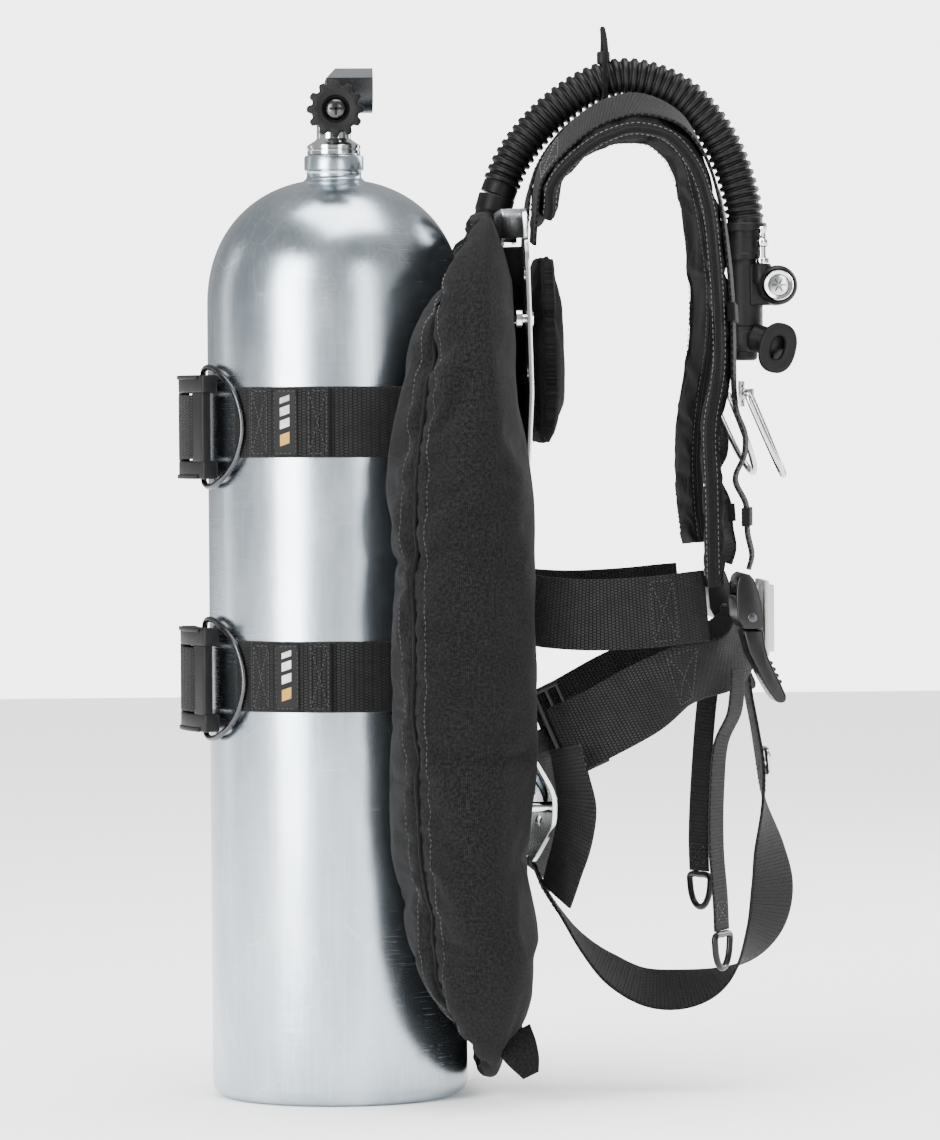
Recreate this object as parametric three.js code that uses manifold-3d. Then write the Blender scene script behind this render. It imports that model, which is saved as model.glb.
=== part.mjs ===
// A back-mounted scuba set: an aluminium tank with its valve, held by two cam bands to a steel
// backplate that carries a ring-shaped buoyancy wing, the wing's inflator and a padded harness.
// Millimetres, +Z up. +X points from the tank to the diver, and the diver's right is -Y.
// The origin is the centre of the tank's flat base.
import * as THREE from "three";
import { mergeVertices } from "three/addons/utils/BufferGeometryUtils.js";
import Module from "manifold-3d";

const wasm = await Module();
wasm.setup();

// ---- Driving dimensions ----
const GAP = 0.3; // clearance between touching pieces
const TANK_R = 92;
const TANK_WALL = 13;
const DOME_Z = 568; // where the straight wall ends
const DOME_HEIGHT = 92;
const NECK_TOP = 676.5;
const NECK_BORE_R = 12.5;
const WEB_HALF = 25; // half of 50 mm webbing
const WEB_T = 2.4;
const UPPER_BAND_Z = 485;
const LOWER_BAND_Z = 305;
const BAND_R = TANK_R + 0.6; // inner radius of a cam band's webbing
const LEVER_R = 100.5; // inner radius of a cam lever
const LEVER_T = 12.5;
const BAIL_R = 97.3; // radius at which a bail's wire lies round the tank
const PLATE_T = 3;
const SHOULDER_Y = 50; // where the shoulder webbing meets the plate
const BAND_SLOT_Y = 38;
const HOSE_R = 14;
const RING_R = 2.4; // wire of the chest and pull rings
const INFLATOR = { x: 304, y: 74, top: 616.5 };

const V = (x, y, z) => new THREE.Vector3(x, y, z);
const rad = THREE.MathUtils.degToRad;
const smooth = (a, b, x) => {
  const t = THREE.MathUtils.clamp((x - a) / (b - a), 0, 1);
  return t * t * (3 - 2 * t);
};

// ---- Materials ----
const finish = (color, roughness, metalness) =>
  new THREE.MeshStandardMaterial({ color, roughness, metalness });
const LOOK = {
  aluminium: finish(0xb9c1c6, 0.38, 1),
  chrome: finish(0xd7dadb, 0.15, 1),
  steel: finish(0xc2c6c8, 0.25, 1),
  brass: finish(0xb08d4a, 0.35, 1),
  rubber: finish(0x1b1b1c, 0.75, 0),
  plastic: finish(0x151516, 0.4, 0),
  webbing: finish(0x0f0f10, 0.85, 0),
  nylon: finish(0x1c1c1d, 0.9, 0),
  label: finish(0x26262a, 0.7, 0),
};

// ---- Solids ----
// Merges a geometry's corners and turns it so that its faces point out.
function closed(geometry) {
  const bare = geometry.index ? geometry.toNonIndexed() : geometry.clone();
  ["normal", "uv"].forEach((key) => bare.deleteAttribute(key));
  const merged = mergeVertices(bare, 1e-4);
  const p = merged.attributes.position;
  const index = Array.from(merged.index.array);
  const corner = (i) => new THREE.Vector3().fromBufferAttribute(p, index[i]);
  let volume = 0;
  for (let i = 0; i < index.length; i += 3)
    volume += corner(i).dot(corner(i + 1).cross(corner(i + 2)));
  if (volume < 0) index.reverse();
  merged.setIndex(index);
  return merged;
}

function manifold(geometry) {
  const g = closed(geometry);
  const mesh = new wasm.Mesh({
    numProp: 3,
    vertProperties: new Float32Array(g.attributes.position.array),
    triVerts: new Uint32Array(g.index.array),
  });
  return new wasm.Manifold(mesh);
}

function fromManifold(solid) {
  const m = solid.getMesh();
  return new THREE.BufferGeometry()
    .setAttribute("position", new THREE.BufferAttribute(new Float32Array(m.vertProperties), 3))
    .setIndex(new THREE.BufferAttribute(new Uint32Array(m.triVerts), 1));
}

const join = (...parts) => fromManifold(parts.map(manifold).reduce((a, b) => a.add(b)));
const cut = (base, ...tools) =>
  fromManifold(tools.map(manifold).reduce((a, b) => a.subtract(b), manifold(base)));

// A column's value at a height, from rows that start with their heights.
function along(table, height, column) {
  const i = Math.max(1, table.findIndex(([z]) => z >= height));
  const [low, high] = [table[i - 1], table[i]];
  return low[column] + ((high[column] - low[column]) * (height - low[0])) / (high[0] - low[0]);
}

const box = (x0, x1, y0, y1, z0, z1) =>
  new THREE.BoxGeometry(x1 - x0, y1 - y0, z1 - z0)
    .translate((x0 + x1) / 2, (y0 + y1) / 2, (z0 + z1) / 2);

// A cylinder along an axis, from one coordinate to another on that axis.
function rod(axis, radius, from, to, at = [0, 0], sides = 20) {
  const g = new THREE.CylinderGeometry(radius, radius, Math.abs(to - from), sides);
  const mid = (from + to) / 2;
  if (axis === "x") return g.rotateZ(Math.PI / 2).translate(mid, at[0], at[1]);
  if (axis === "y") return g.translate(at[0], mid, at[1]);
  return g.rotateX(Math.PI / 2).translate(at[0], at[1], mid);
}

// A turned piece about Z, from [radius, height] pairs.
const turned = (profile, sides = 32) =>
  new THREE.LatheGeometry(profile.map(([r, z]) => new THREE.Vector2(r, z)), sides)
    .rotateX(Math.PI / 2);

// Skins a list of rings of points; an open one gets flat ends.
function skin(rings, loop = false) {
  const n = rings[0].length;
  const count = rings.length;
  const index = [];
  for (let i = 0; i < (loop ? count : count - 1); i++)
    for (let k = 0; k < n; k++) {
      const next = (k + 1) % n;
      const row = ((i + 1) % count) * n;
      index.push(i * n + k, i * n + next, row + next, i * n + k, row + next, row + k);
    }
  const last = (count - 1) * n;
  for (let k = 1; !loop && k < n - 1; k++)
    index.push(0, k + 1, k, last, last + k, last + k + 1);
  const flat = rings.flat().flatMap((p) => p.toArray());
  return closed(
    new THREE.BufferGeometry()
      .setAttribute("position", new THREE.Float32BufferAttribute(flat, 3))
      .setIndex(index),
  );
}

const STRAP = [[1, 1], [-1, 1], [-1, -1], [1, -1]];
const PAD = [0, 1, 2, 3, 4, 5, 6, 7].map((k) => {
  const a = (k / 8) * 2 * Math.PI + Math.PI / 8;
  return [Math.sign(Math.cos(a)) * Math.abs(Math.cos(a)) ** 0.6, Math.sin(a)];
});

// A strap or pad through stations of [x, y, z, half-width vector x, y, z].
function strap(stations, thickness, steps, section = STRAP) {
  const path = new THREE.CatmullRomCurve3(stations.map(([x, y, z]) => V(x, y, z)));
  const across = new THREE.CatmullRomCurve3(stations.map((s) => V(s[3], s[4], s[5])));
  const rings = [];
  for (let i = 0; i <= steps; i++) {
    const along = path.getTangent(i / steps);
    const side = across.getPoint(i / steps);
    const half = side.length();
    side.addScaledVector(along, -side.dot(along)).setLength(half);
    const up = V(0, 0, 0).crossVectors(along, side).setLength(thickness / 2);
    rings.push(section.map(([u, v]) =>
      path.getPoint(i / steps).addScaledVector(side, u).addScaledVector(up, v)));
  }
  return skin(rings);
}

// A flat band of webbing whose edge runs along a plan outline, as tall as its width.
function edgeBand(plan, thickness, z, half) {
  const normals = plan.map((p, i) => {
    const a = plan[Math.max(i - 1, 0)];
    const b = plan[Math.min(i + 1, plan.length - 1)];
    const before = p.clone().sub(a).normalize();
    const after = b.clone().sub(p).normalize();
    const along = before.add(after).normalize();
    const leg = i ? p.clone().sub(a).normalize() : b.clone().sub(p).normalize();
    return new THREE.Vector2(-along.y, along.x).multiplyScalar(1 / Math.max(along.dot(leg), 0.5));
  });
  const side = (s) => plan.map((p, i) => p.clone().addScaledVector(normals[i], (s * thickness) / 2));
  const outline = new THREE.Shape([...side(1), ...side(-1).reverse()]);
  return new THREE.ExtrudeGeometry(outline, { depth: 2 * half, bevelEnabled: false })
    .translate(0, 0, z - half);
}

// A closed loop of round wire through points.
function wire(points, radius, steps = 24, sides = 5, tension = 0.5) {
  const path = new THREE.CatmullRomCurve3(points, true, "catmullrom", tension);
  const frames = path.computeFrenetFrames(steps, true);
  const rings = Array.from({ length: steps }, (_, i) =>
    Array.from({ length: sides }, (_, k) => {
      const a = (k / sides) * 2 * Math.PI;
      return path.getPointAt(i / steps)
        .addScaledVector(frames.normals[i], radius * Math.cos(a))
        .addScaledVector(frames.binormals[i], radius * Math.sin(a));
    }));
  return skin(rings, true);
}

// A D-ring: its bar along Y through the origin, and its bow hanging down -Z.
function deeRing(halfBar, depth, radius, steps = 24) {
  const bow = [];
  for (let a = 20; a <= 160; a += 28)
    bow.push(V(0, halfBar * Math.cos(rad(a)), -depth * Math.sin(rad(a)) ** 0.8));
  const bar = [V(0, -halfBar * 0.96, -2), V(0, -halfBar * 0.6, 0), V(0, 0, 0),
    V(0, halfBar * 0.6, 0), V(0, halfBar * 0.96, -2)];
  return wire([...bow, ...bar], radius, steps);
}

// A tube along a curve.
function tube(points, radius, steps, sides) {
  const section = new THREE.Shape();
  section.absarc(0, 0, radius, 0, 2 * Math.PI, false);
  const path = new THREE.CatmullRomCurve3(points);
  return new THREE.ExtrudeGeometry(section, {
    steps, extrudePath: path, bevelEnabled: false, curveSegments: sides });
}

const rig = new THREE.Group();

function add(name, geometry, look, parent = rig) {
  const piece = new THREE.Mesh(geometry, LOOK[look]);
  piece.name = name;
  parent.add(piece);
  return piece;
}

function groupAt(x, y, z, parent = rig) {
  const group = new THREE.Group();
  group.position.set(x, y, z);
  parent.add(group);
  return group;
}

// ---- Tank ----
// A superellipse dome, from its foot up to a radius.
function dome(radius, height, neck, count) {
  const power = 2.2;
  const last = Math.acos((neck / radius) ** (power / 2));
  return Array.from({ length: count + 1 }, (_, i) => {
    const a = (i / count) * last;
    return [radius * Math.cos(a) ** (2 / power), DOME_Z + height * Math.sin(a) ** (2 / power)];
  });
}

function tankShell() {
  const corner = [0, 45, 90].map((a) => [
    TANK_R - 12 + 12 * Math.sin(rad(a)), 10 - 10 * Math.cos(rad(a))]);
  const outer = [
    ...corner,
    ...dome(TANK_R, DOME_HEIGHT, 27, 6),
    [19.7, 659.5], [19.7, 665], [21.4, 666], [21.4, 675.5], [20.6, NECK_TOP],
  ];
  const inner = [
    [16.2, NECK_TOP], [16.2, NECK_TOP - 3.2], [NECK_BORE_R, NECK_TOP - 3.2], [NECK_BORE_R, 646],
    ...dome(TANK_R - TANK_WALL, DOME_HEIGHT - 16, 20, 4).reverse(),
    [TANK_R - TANK_WALL, 34], [TANK_R - TANK_WALL - 16, 16],
  ];
  return turned([[0, 0], ...outer, ...inner, [0, 16]], 36);
}

add("tank_shell", closed(tankShell()), "aluminium");

// ---- Valve, in its own frame: the tank's neck top at z 0 ----
const valve = groupAt(0, 0, NECK_TOP);
const HANDWHEEL_Z = 31;
const OUTLET_Z = 47.5;
const OUTLET_FACE = 28;

function valveBody() {
  const stem = turned([[0, -30], [12, -30], [12.2, GAP], [19.3, GAP], [19.3, 7.5], [16, 9.5],
    [12.4, 12], [12.4, 36], [0, 36]], 24);
  const shoulders = new THREE.Shape();
  shoulders.moveTo(-6, 46).lineTo(-6, 55).lineTo(1, 62.5).lineTo(26, 62.5).lineTo(OUTLET_FACE, 60.5)
    .lineTo(OUTLET_FACE, 46).closePath();
  const block = new THREE.ExtrudeGeometry(shoulders, { depth: 31, bevelEnabled: false })
    .rotateX(Math.PI / 2).translate(0, 15.5, 0);
  const round = rod("x", 15.5, -6, OUTLET_FACE, [0, 46]);
  const bonnetArm = rod("y", 11, -26, 0, [0, HANDWHEEL_Z]);
  const plugArm = rod("y", 8.5, 0, 20, [0, HANDWHEEL_Z]);
  const spindleBore = rod("y", 6.3, -27, -5, [0, HANDWHEEL_Z]);
  const outletBore = rod("x", 11.5, OUTLET_FACE - 11, OUTLET_FACE + 1, [0, OUTLET_Z], 24);
  const sealSeat = rod("x", 10.6, OUTLET_FACE - 14, OUTLET_FACE - 9, [0, OUTLET_Z], 16);
  const gasWay = rod("z", 3, -31, -18);
  return cut(join(stem, block, round, bonnetArm, plugArm), spindleBore, outletBore, sealSeat, gasWay);
}

add("valve_body", valveBody(), "chrome", valve);
add("neck_seal", closed(new THREE.TorusGeometry(14.2, 1.3, 6, 24).translate(0, 0, -1.7)),
  "rubber", valve);
add("dip_tube", closed(turned([[2.5, -30 - GAP], [4, -30 - GAP], [4, -90], [2.5, -90],
  [2.5, -30 - GAP]], 12)), "brass", valve);
add("burst_disc_plug", closed(rod("y", 7, 20 + GAP, 27, [0, HANDWHEEL_Z], 6)), "chrome", valve);
add("outlet_seal", closed(new THREE.TorusGeometry(9, 1.3, 6, 20).rotateY(Math.PI / 2)
  .translate(OUTLET_FACE - 12.4, 0, OUTLET_Z)), "rubber", valve);

// The stem parts share one axis, along Y through the valve's centre.
const stemAxis = groupAt(0, 0, HANDWHEEL_Z, valve);
const SPINDLE_R = 4;
const RUNNING = 0.1; // a turning fit's clearance
add("bonnet_nut", cut(rod("y", 10, -33, -26 - GAP, [0, 0], 6),
  rod("y", SPINDLE_R + RUNNING, -34, -25, [0, 0], 16)), "chrome", stemAxis);
add("valve_spindle", closed(rod("y", SPINDLE_R, -51, -17, [0, 0], 16)), "steel", stemAxis);
add("valve_poppet", closed(rod("y", 5.9, -12, -6, [0, 0], 16)), "brass", stemAxis);

function handwheelKnob() {
  const lobes = 12;
  const outline = new THREE.Shape();
  for (let i = 0; i < lobes * 4; i++) {
    const a = (i / (lobes * 4)) * 2 * Math.PI;
    const r = i % 4 < 2 ? 20.3 : 16.4;
    outline[i ? "lineTo" : "moveTo"](r * Math.cos(a), r * Math.sin(a));
  }
  outline.closePath();
  const body = new THREE.ExtrudeGeometry(outline, { depth: 18, bevelEnabled: false })
    .rotateX(Math.PI / 2).translate(0, -36, 0);
  return cut(body, rod("y", SPINDLE_R + RUNNING, -60, -30, [0, 0], 16), rod("y", 9.6, -55, -48, [0, 0], 20));
}

add("handwheel_knob", handwheelKnob(), "rubber", stemAxis);
add("handwheel_nut", cut(rod("y", 8, -55, -48.5, [0, 0], 12),
  rod("y", SPINDLE_R + RUNNING, -51.4, -48, [0, 0], 16)), "chrome", stemAxis);

// ---- Cam bands ----
const onRing = (radius, degrees) =>
  new THREE.Vector2(radius * Math.cos(rad(degrees)), radius * Math.sin(rad(degrees)));

// The plate's middle along X at each height, and below it half its width.
const PLATE_X = [[171, 137], [180, 140], [201, 148.5], [222, 148.5], [236, 141], [250, 132], [275, 128],
  [334, 129.5], [414, 128.5], [450, 132.5], [505, 136], [556, 135], [600, 134], [640, 133]];
const PLATE_HALF = [[171, 74], [200, 118], [240, 128], [340, 131], [430, 108], [510, 92], [600, 84],
  [640, 62]];
const plateX = (z) => along(PLATE_X, z, 1);
const plateHalf = (z) => along(PLATE_HALF, z, 1);
const CHANNEL = 14; // how far the plate's middle is pressed towards the tank

// Round the tank from the bail's loop, through the plate's slots, to the lever.
function bandPlan(z) {
  const mid = BAND_R + WEB_T / 2;
  const floor = plateX(z) - CHANNEL;
  const reach = Math.hypot(floor, BAND_SLOT_Y);
  const touch = THREE.MathUtils.radToDeg(Math.atan2(BAND_SLOT_Y, floor) + Math.acos(mid / reach));
  const arc = (from, to, count) =>
    Array.from({ length: count + 1 }, (_, i) => onRing(mid, from + ((to - from) * i) / count));
  const front = floor + PLATE_T / 2 + 1.7 + WEB_T / 2;
  return [
    ...arc(219, 360 - touch, 9),
    new THREE.Vector2(floor - 3, -BAND_SLOT_Y), new THREE.Vector2(front, -BAND_SLOT_Y + 1.5),
    new THREE.Vector2(front, BAND_SLOT_Y - 1.5), new THREE.Vector2(floor - 3, BAND_SLOT_Y),
    ...arc(touch, 175, 13),
  ];
}

// A block between two radii and two angles round the tank.
function sector(r0, r1, from, to, z0, z1, steps = 5) {
  const edge = (r) => Array.from({ length: steps + 1 }, (_, i) => onRing(r, from + ((to - from) * i) / steps));
  const outline = new THREE.Shape([...edge(r1), ...edge(r0).reverse()]);
  return new THREE.ExtrudeGeometry(outline, { depth: z1 - z0, bevelEnabled: false })
    .translate(0, 0, z0);
}

function camLever() {
  const out = LEVER_R + LEVER_T;
  return join(
    sector(LEVER_R, out, 177.5, 212, 24, 37),
    sector(LEVER_R, out, 177.5, 212, -37, -24),
    sector(LEVER_R + 5, out, 177.5, 188, -25, 25, 2),
    sector(LEVER_R + 5, out, 192, 199, -25, 25, 2),
  );
}

// The bail lies round the tank: a straight bar under the lever and a bow into the band's loop.
function camBail() {
  const at = (degrees, z) => {
    const p = onRing(BAIL_R, degrees);
    return V(p.x, p.y, z);
  };
  return wire([at(190, -24), at(190, 0), at(190, 24), at(191.5, 38), at(197, 42.5), at(206, 41),
    at(216, 33), at(223, 19), at(225.5, 0), at(223, -19), at(216, -33), at(206, -41), at(197, -42.5),
    at(191.5, -38)], 2.1, 30);
}

for (const [side, z] of [["upper", UPPER_BAND_Z], ["lower", LOWER_BAND_Z]]) {
  add(`${side}_cam_band`, closed(edgeBand(bandPlan(z), WEB_T, z, WEB_HALF)), "webbing");
  const buckle = groupAt(0, 0, z - 3);
  add(`${side}_cam_lever`, camLever(), "plastic", buckle);
  add(`${side}_cam_bail`, camBail(), "steel", buckle);
  add(`${side}_band_patch`, closed(sector(BAND_R + WEB_T + GAP, BAND_R + WEB_T + 1.5, 242.5, 252,
    z - WEB_HALF, z + WEB_HALF, 3)), "label");
}

// ---- Backplate ----
// Each pair: its height, its distance from the middle and how far it reaches towards the tank.
const SCREWS = [["upper", 557, 66, 9], ["lower", 212, 96, 22]];

function backplate() {
  const heights = [171, 185, 200, 222, 236, 250, 275, 334, 414, 450, 505, 556, 600, 640];
  const rows = heights.map((z) => {
    const half = plateHalf(z);
    const depth = CHANNEL * smooth(200, 262, z);
    const columns = [-half, -(half + 58) / 2, -58, -44, 0, 44, 58, (half + 58) / 2, half];
    return columns.map((y) => V(plateX(z) - (Math.abs(y) <= 44 ? depth : 0), y, z));
  });
  const index = [];
  const n = rows[0].length;
  const m = rows.length;
  const id = (i, j, back) => (back ? m * n : 0) + i * n + j;
  const quad = (a, b, c, d) => index.push(a, b, c, a, c, d);
  for (let i = 0; i < m - 1; i++)
    for (let j = 0; j < n - 1; j++) {
      quad(id(i, j), id(i, j + 1), id(i + 1, j + 1), id(i + 1, j));
      quad(id(i, j, 1), id(i + 1, j, 1), id(i + 1, j + 1, 1), id(i, j + 1, 1));
    }
  for (let i = 0; i < m - 1; i++) {
    quad(id(i, 0), id(i + 1, 0), id(i + 1, 0, 1), id(i, 0, 1));
    quad(id(i, n - 1), id(i, n - 1, 1), id(i + 1, n - 1, 1), id(i + 1, n - 1));
  }
  for (let j = 0; j < n - 1; j++) {
    quad(id(0, j), id(0, j, 1), id(0, j + 1, 1), id(0, j + 1));
    quad(id(m - 1, j), id(m - 1, j + 1), id(m - 1, j + 1, 1), id(m - 1, j, 1));
  }
  const points = [...rows.flat(), ...rows.flat().map((p) => p.clone().setX(p.x - PLATE_T))];
  const blank = new THREE.BufferGeometry()
    .setAttribute("position", new THREE.Float32BufferAttribute(points.flatMap((p) => p.toArray()), 3))
    .setIndex(index)
    .translate(PLATE_T / 2, 0, 0);
  const slot = (y, z, w, h) => box(80, 180, y - w / 2, y + w / 2, z - h / 2, z + h / 2);
  const sides = [-1, 1];
  const holes = sides.flatMap((s) => [
    slot(s * BAND_SLOT_Y, UPPER_BAND_Z, 6, 54), slot(s * BAND_SLOT_Y, LOWER_BAND_Z, 6, 54),
    slot(s * SHOULDER_Y, 612, 54, 6), slot(s * 118, 352, 6, 56), slot(s * 108, 258, 6, 50),
    ...SCREWS.map(([, z, y]) => rod("x", 4.4, 80, 180, [s * y, z], 10)),
    rod("x", 11, 80, 180, [s * 92, 305], 12), rod("x", 11, 80, 180, [s * 90, 400], 12),
  ]);
  return cut(blank, ...holes, slot(0, 196, 54, 6), rod("x", 12, 80, 180, [0, 395], 12),
    rod("x", 12, 80, 180, [0, 570], 12));
}

add("backplate", backplate(), "steel");
for (const [level, z, y, reach] of SCREWS)
  for (const [hand, s] of [["right", -1], ["left", 1]]) {
    const middle = plateX(z);
    const half = PLATE_T / 2 + 0.4;
    const at = [s * y, z];
    add(`${level}_plate_screw_${hand}`, join(rod("x", 3.9, middle - reach, middle + 5, at, 10),
      rod("x", 7.5, middle - reach, middle - reach + 5, at, 10),
      rod("x", 8.5, middle + half, middle + half + 2.5, at, 12)), "steel");
  }

// The cushion between the plate and the diver's back.
function backPad() {
  const rings = [470, 476, 500, 540, 575, 596, 601].map((z, i) => {
    const half = [78, 82, 84, 83, 82, 79, 76][i];
    const thick = [5, 9, 11, 12, 11, 9, 5][i];
    return PAD.map(([u, v]) => V(plateX(z) + PLATE_T / 2 + 13 + thick * v, half * u, z));
  });
  return skin(rings);
}
add("back_pad", cut(backPad(), ...[-1, 1].map((s) => rod("x", 10, 130, 143, [s * 66, 557], 10))), "nylon");

// ---- Wing: an inflated ring, in front of the tank and round its two sides ----
const WING = { y: 124, z: 316, halfHeight: 250, halfTube: 51, squareness: 0.66 };
// A side lobe's middle and half thickness along X, from its foot to its top.
const LOBE = [[60, 103, 32], [90, 99, 41], [130, 95, 46], [184, 85, 45], [255, 82, 47], [395, 82, 47],
  [465, 86, 45], [514, 91, 39], [563, 95, 35], [580, 98, 31]];

function wingStation(turn) {
  const [c, s] = [Math.cos(turn), Math.sin(turn)];
  const y = WING.y * Math.sign(c) * Math.abs(c) ** WING.squareness;
  const z = WING.z + WING.halfHeight * Math.sign(s) * Math.abs(s) ** WING.squareness;
  const lobe = smooth(0.3, 0.8, Math.abs(y) / WING.y);
  return {
    y, z,
    x: 110 + (along(LOBE, z, 1) - 110) * lobe,
    thick: 13 + (along(LOBE, z, 2) - 13) * lobe,
    out: V(0, c * WING.halfHeight, s * WING.y).normalize(),
  };
}

function wing() {
  const steps = 30;
  const rings = Array.from({ length: steps }, (_, i) => {
    const at = wingStation((i / steps) * 2 * Math.PI);
    return Array.from({ length: 12 }, (_, k) => {
      const a = (k / 12) * 2 * Math.PI;
      return V(at.x + at.thick * Math.cos(a), at.y, at.z)
        .addScaledVector(at.out, WING.halfTube * Math.sin(a));
    });
  });
  const tunnel = (z) => {
    const wedge = new THREE.Shape([onRing(97, 82), onRing(97, -82), new THREE.Vector2(130, -46),
      new THREE.Vector2(130, 46)]);
    return new THREE.ExtrudeGeometry(wedge, { depth: 62, bevelEnabled: false }).translate(0, 0, z - 31);
  };
  return cut(skin(rings, true), rod("z", 97, -5, 700, [0, 0], 36),
    tunnel(UPPER_BAND_Z), tunnel(LOWER_BAND_Z),
    box(124.5, 190, -136, 136, 166, 660), box(112, 190, -50, 50, 260, 660),
    ...[-1, 1].map((s) => rod("x", 9, 121, 136, [s * 96, 212], 8)),
    ...[-1, 1].map((s) => rod("x", 10, 112, 130, [s * 66, 557], 8)),
    rod("z", 15, 588, 640, [110, 70], 12));
}
add("wing_cell", wing(), "nylon");

// ---- Inflator hose, from the wing's elbow over the left shoulder ----
const HOSE = [[121.8, 75, 650], [132, 76, 674], [148.5, 77, 697], [168.5, 78, 716], [190.7, 79, 730.3],
  [212.8, 80, 737], [235, 80, 734.6], [258.4, 79, 723.5], [277.5, 77, 703.6], [290.6, 76, 681.5],
  [299.4, 75, 657.3], [304, 74, 635], [304, 74, 617.6]];
add("corrugated_hose", closed(tube(HOSE.map((p) => V(...p)), HOSE_R, 30, 4)), "rubber");
add("wing_elbow", join(tube([V(110, 70, 590), V(114, 72.5, 620), V(120.8, 74.9, 647.4)], 12.5, 5, 4),
  rod("z", 14.4, 588 + GAP, 593, [110, 70], 14)), "plastic");
add("hose_clamp", closed(turned([[14.6, -3], [16.4, -3], [16.4, 3], [14.6, 3], [14.6, -3]], 16)
  .translate(INFLATOR.x, INFLATOR.y, 626)), "steel");

function bungeeLoop() {
  const turn = Array.from({ length: 10 }, (_, i) => rad(i * 36));
  return wire(turn.map((a) => V(201, 80 + 20 * Math.cos(a), 744.5 + 28.2 * Math.sin(a))), 1.9, 24);
}
add("hose_bungee", bungeeLoop(), "rubber");

// The inflator hangs from the hose; its inflate button and mouthpiece face the diver's right.
const power = groupAt(INFLATOR.x, INFLATOR.y, 0);
const BUTTON = { x: 22, z: 583 };
function inflatorBody() {
  const barrel = turned([[0, 536], [11, 536], [13, 540], [13, 600], [13.5, 603], [13.5, INFLATOR.top],
    [0, INFLATOR.top]], 18);
  const sideBlock = rod("y", 14.6, -24, 4, [BUTTON.x - 1, BUTTON.z]);
  const oral = rod("y", 9, -20, 0, [14, 543], 14);
  const nippleSeat = rod("z", 6.5, 583, 599, [11, -17], 10);
  return cut(join(barrel, sideBlock, oral, nippleSeat),
    rod("y", 10.6, -26, -16, [BUTTON.x, BUTTON.z]), rod("z", 9.4, 530, 545, [0, 0], 16));
}
add("inflator_body", inflatorBody(), "plastic", power);
add("inflate_button", closed(rod("y", 10.2, -29, -20, [BUTTON.x, BUTTON.z])), "chrome", power);
add("deflate_button", closed(rod("z", 9, 528, 539, [0, 0], 16)), "plastic", power);
add("hose_nipple", join(rod("z", 3, 599 + GAP, 626, [11, -17], 20), rod("z", 5.5, 599 + GAP, 603, [11, -17], 6)),
  "chrome", power);

function mouthpiece() {
  const oval = (a, b) => {
    const s = new THREE.Shape();
    s.absellipse(0, 0, a, b, 0, 2 * Math.PI);
    return s;
  };
  const slab = (shape, from, to) =>
    new THREE.ExtrudeGeometry(shape, { depth: to - from, bevelEnabled: false, curveSegments: 8 })
      .rotateX(Math.PI / 2).translate(0, to, 0);
  const whole = join(slab(oval(13.5, 18.5), -4, 0), slab(oval(9, 12), -1, 5));
  return cut(whole, slab(oval(4.6, 8.8), -6, 3));
}
const oralEnd = groupAt(21, -25.4, 537, power);
oralEnd.rotation.y = rad(14);
add("mouthpiece", mouthpiece(), "rubber", oralEnd);

// ---- Harness ----
// Stations are [x, y, z, half-width vector]; y is the distance from the middle, on either side.
const shoulderPad = {
  right: [[150, 52, 634], [153, 57, 655], [167, 66, 676], [190, 78, 694], [212, 86, 699], [234, 92, 690],
    [250, 96, 668], [260, 99, 638], [265.5, 101, 600], [268.5, 102, 560], [268.5, 103, 520],
    [262, 103, 480], [263, 104, 440], [263.5, 104, 400], [264, 104, 368]],
  left: [[150, 52, 634], [155, 58, 657], [172, 67, 681], [196, 80, 696.5], [218, 88, 703.5], [240, 93, 699],
    [256, 97, 682], [267, 100, 650], [273, 102, 612], [276, 103, 575], [274, 104, 535],
    [268, 104, 495], [265, 104, 460], [266, 104, 425], [269, 103, 394]],
};
const shoulderWeb = {
  right: [[140, 50, 611], [141.5, 52, 634], [145, 57, 658.5], [161, 66, 682], [186.5, 78, 702], [213, 86, 707.7],
    [240.5, 92, 697], [258.5, 96, 672], [269, 99, 640], [274.5, 101, 601], [277.5, 102, 560],
    [277.8, 103, 520], [278.2, 103, 504], [280, 103, 490], [285.5, 103, 475], [285, 104, 460], [278.5, 104, 443],
    [286, 104, 425], [287, 104, 405], [290, 104, 389], [287.5, 104, 379]],
  left: [[140, 50, 611], [141.5, 52, 634], [147, 58, 661], [166, 67, 687.5], [192, 80, 704.5], [218.5, 88, 712],
    [246, 93, 706.5], [264.5, 97, 686], [276, 100, 652.5], [282, 102, 613], [284, 103, 575],
    [281.5, 103, 535], [278.4, 103, 506], [280, 103, 490], [287, 104, 475], [287, 104, 460], [281, 104, 445],
    [289, 104, 425], [291, 104, 405], [293, 103, 390], [290, 103, 379]],
};
const CHEST_TURN = 0.14; // how far the chest webbing is turned in, in radians
// Half-width direction down a shoulder: level at the plate, sloped on top, turned in at the chest.
const lean = (i) => {
  const top = smooth(0, 4, i) * (1 - smooth(5, 8, i));
  const chest = smooth(5, 9, i);
  return V(-CHEST_TURN * chest, 1, -0.36 * top).normalize();
};
const shoulderStations = (points, half, s) => points.map(([x, y, z], i) => {
  const w = lean(i).multiplyScalar(half);
  return [x, s * y, z, w.x, s * w.y, w.z];
});
const mirrored = (stations, s) => stations.map(([x, y, z, a, b, c]) => [x, s * y, z, a, s * b, c]);

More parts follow.
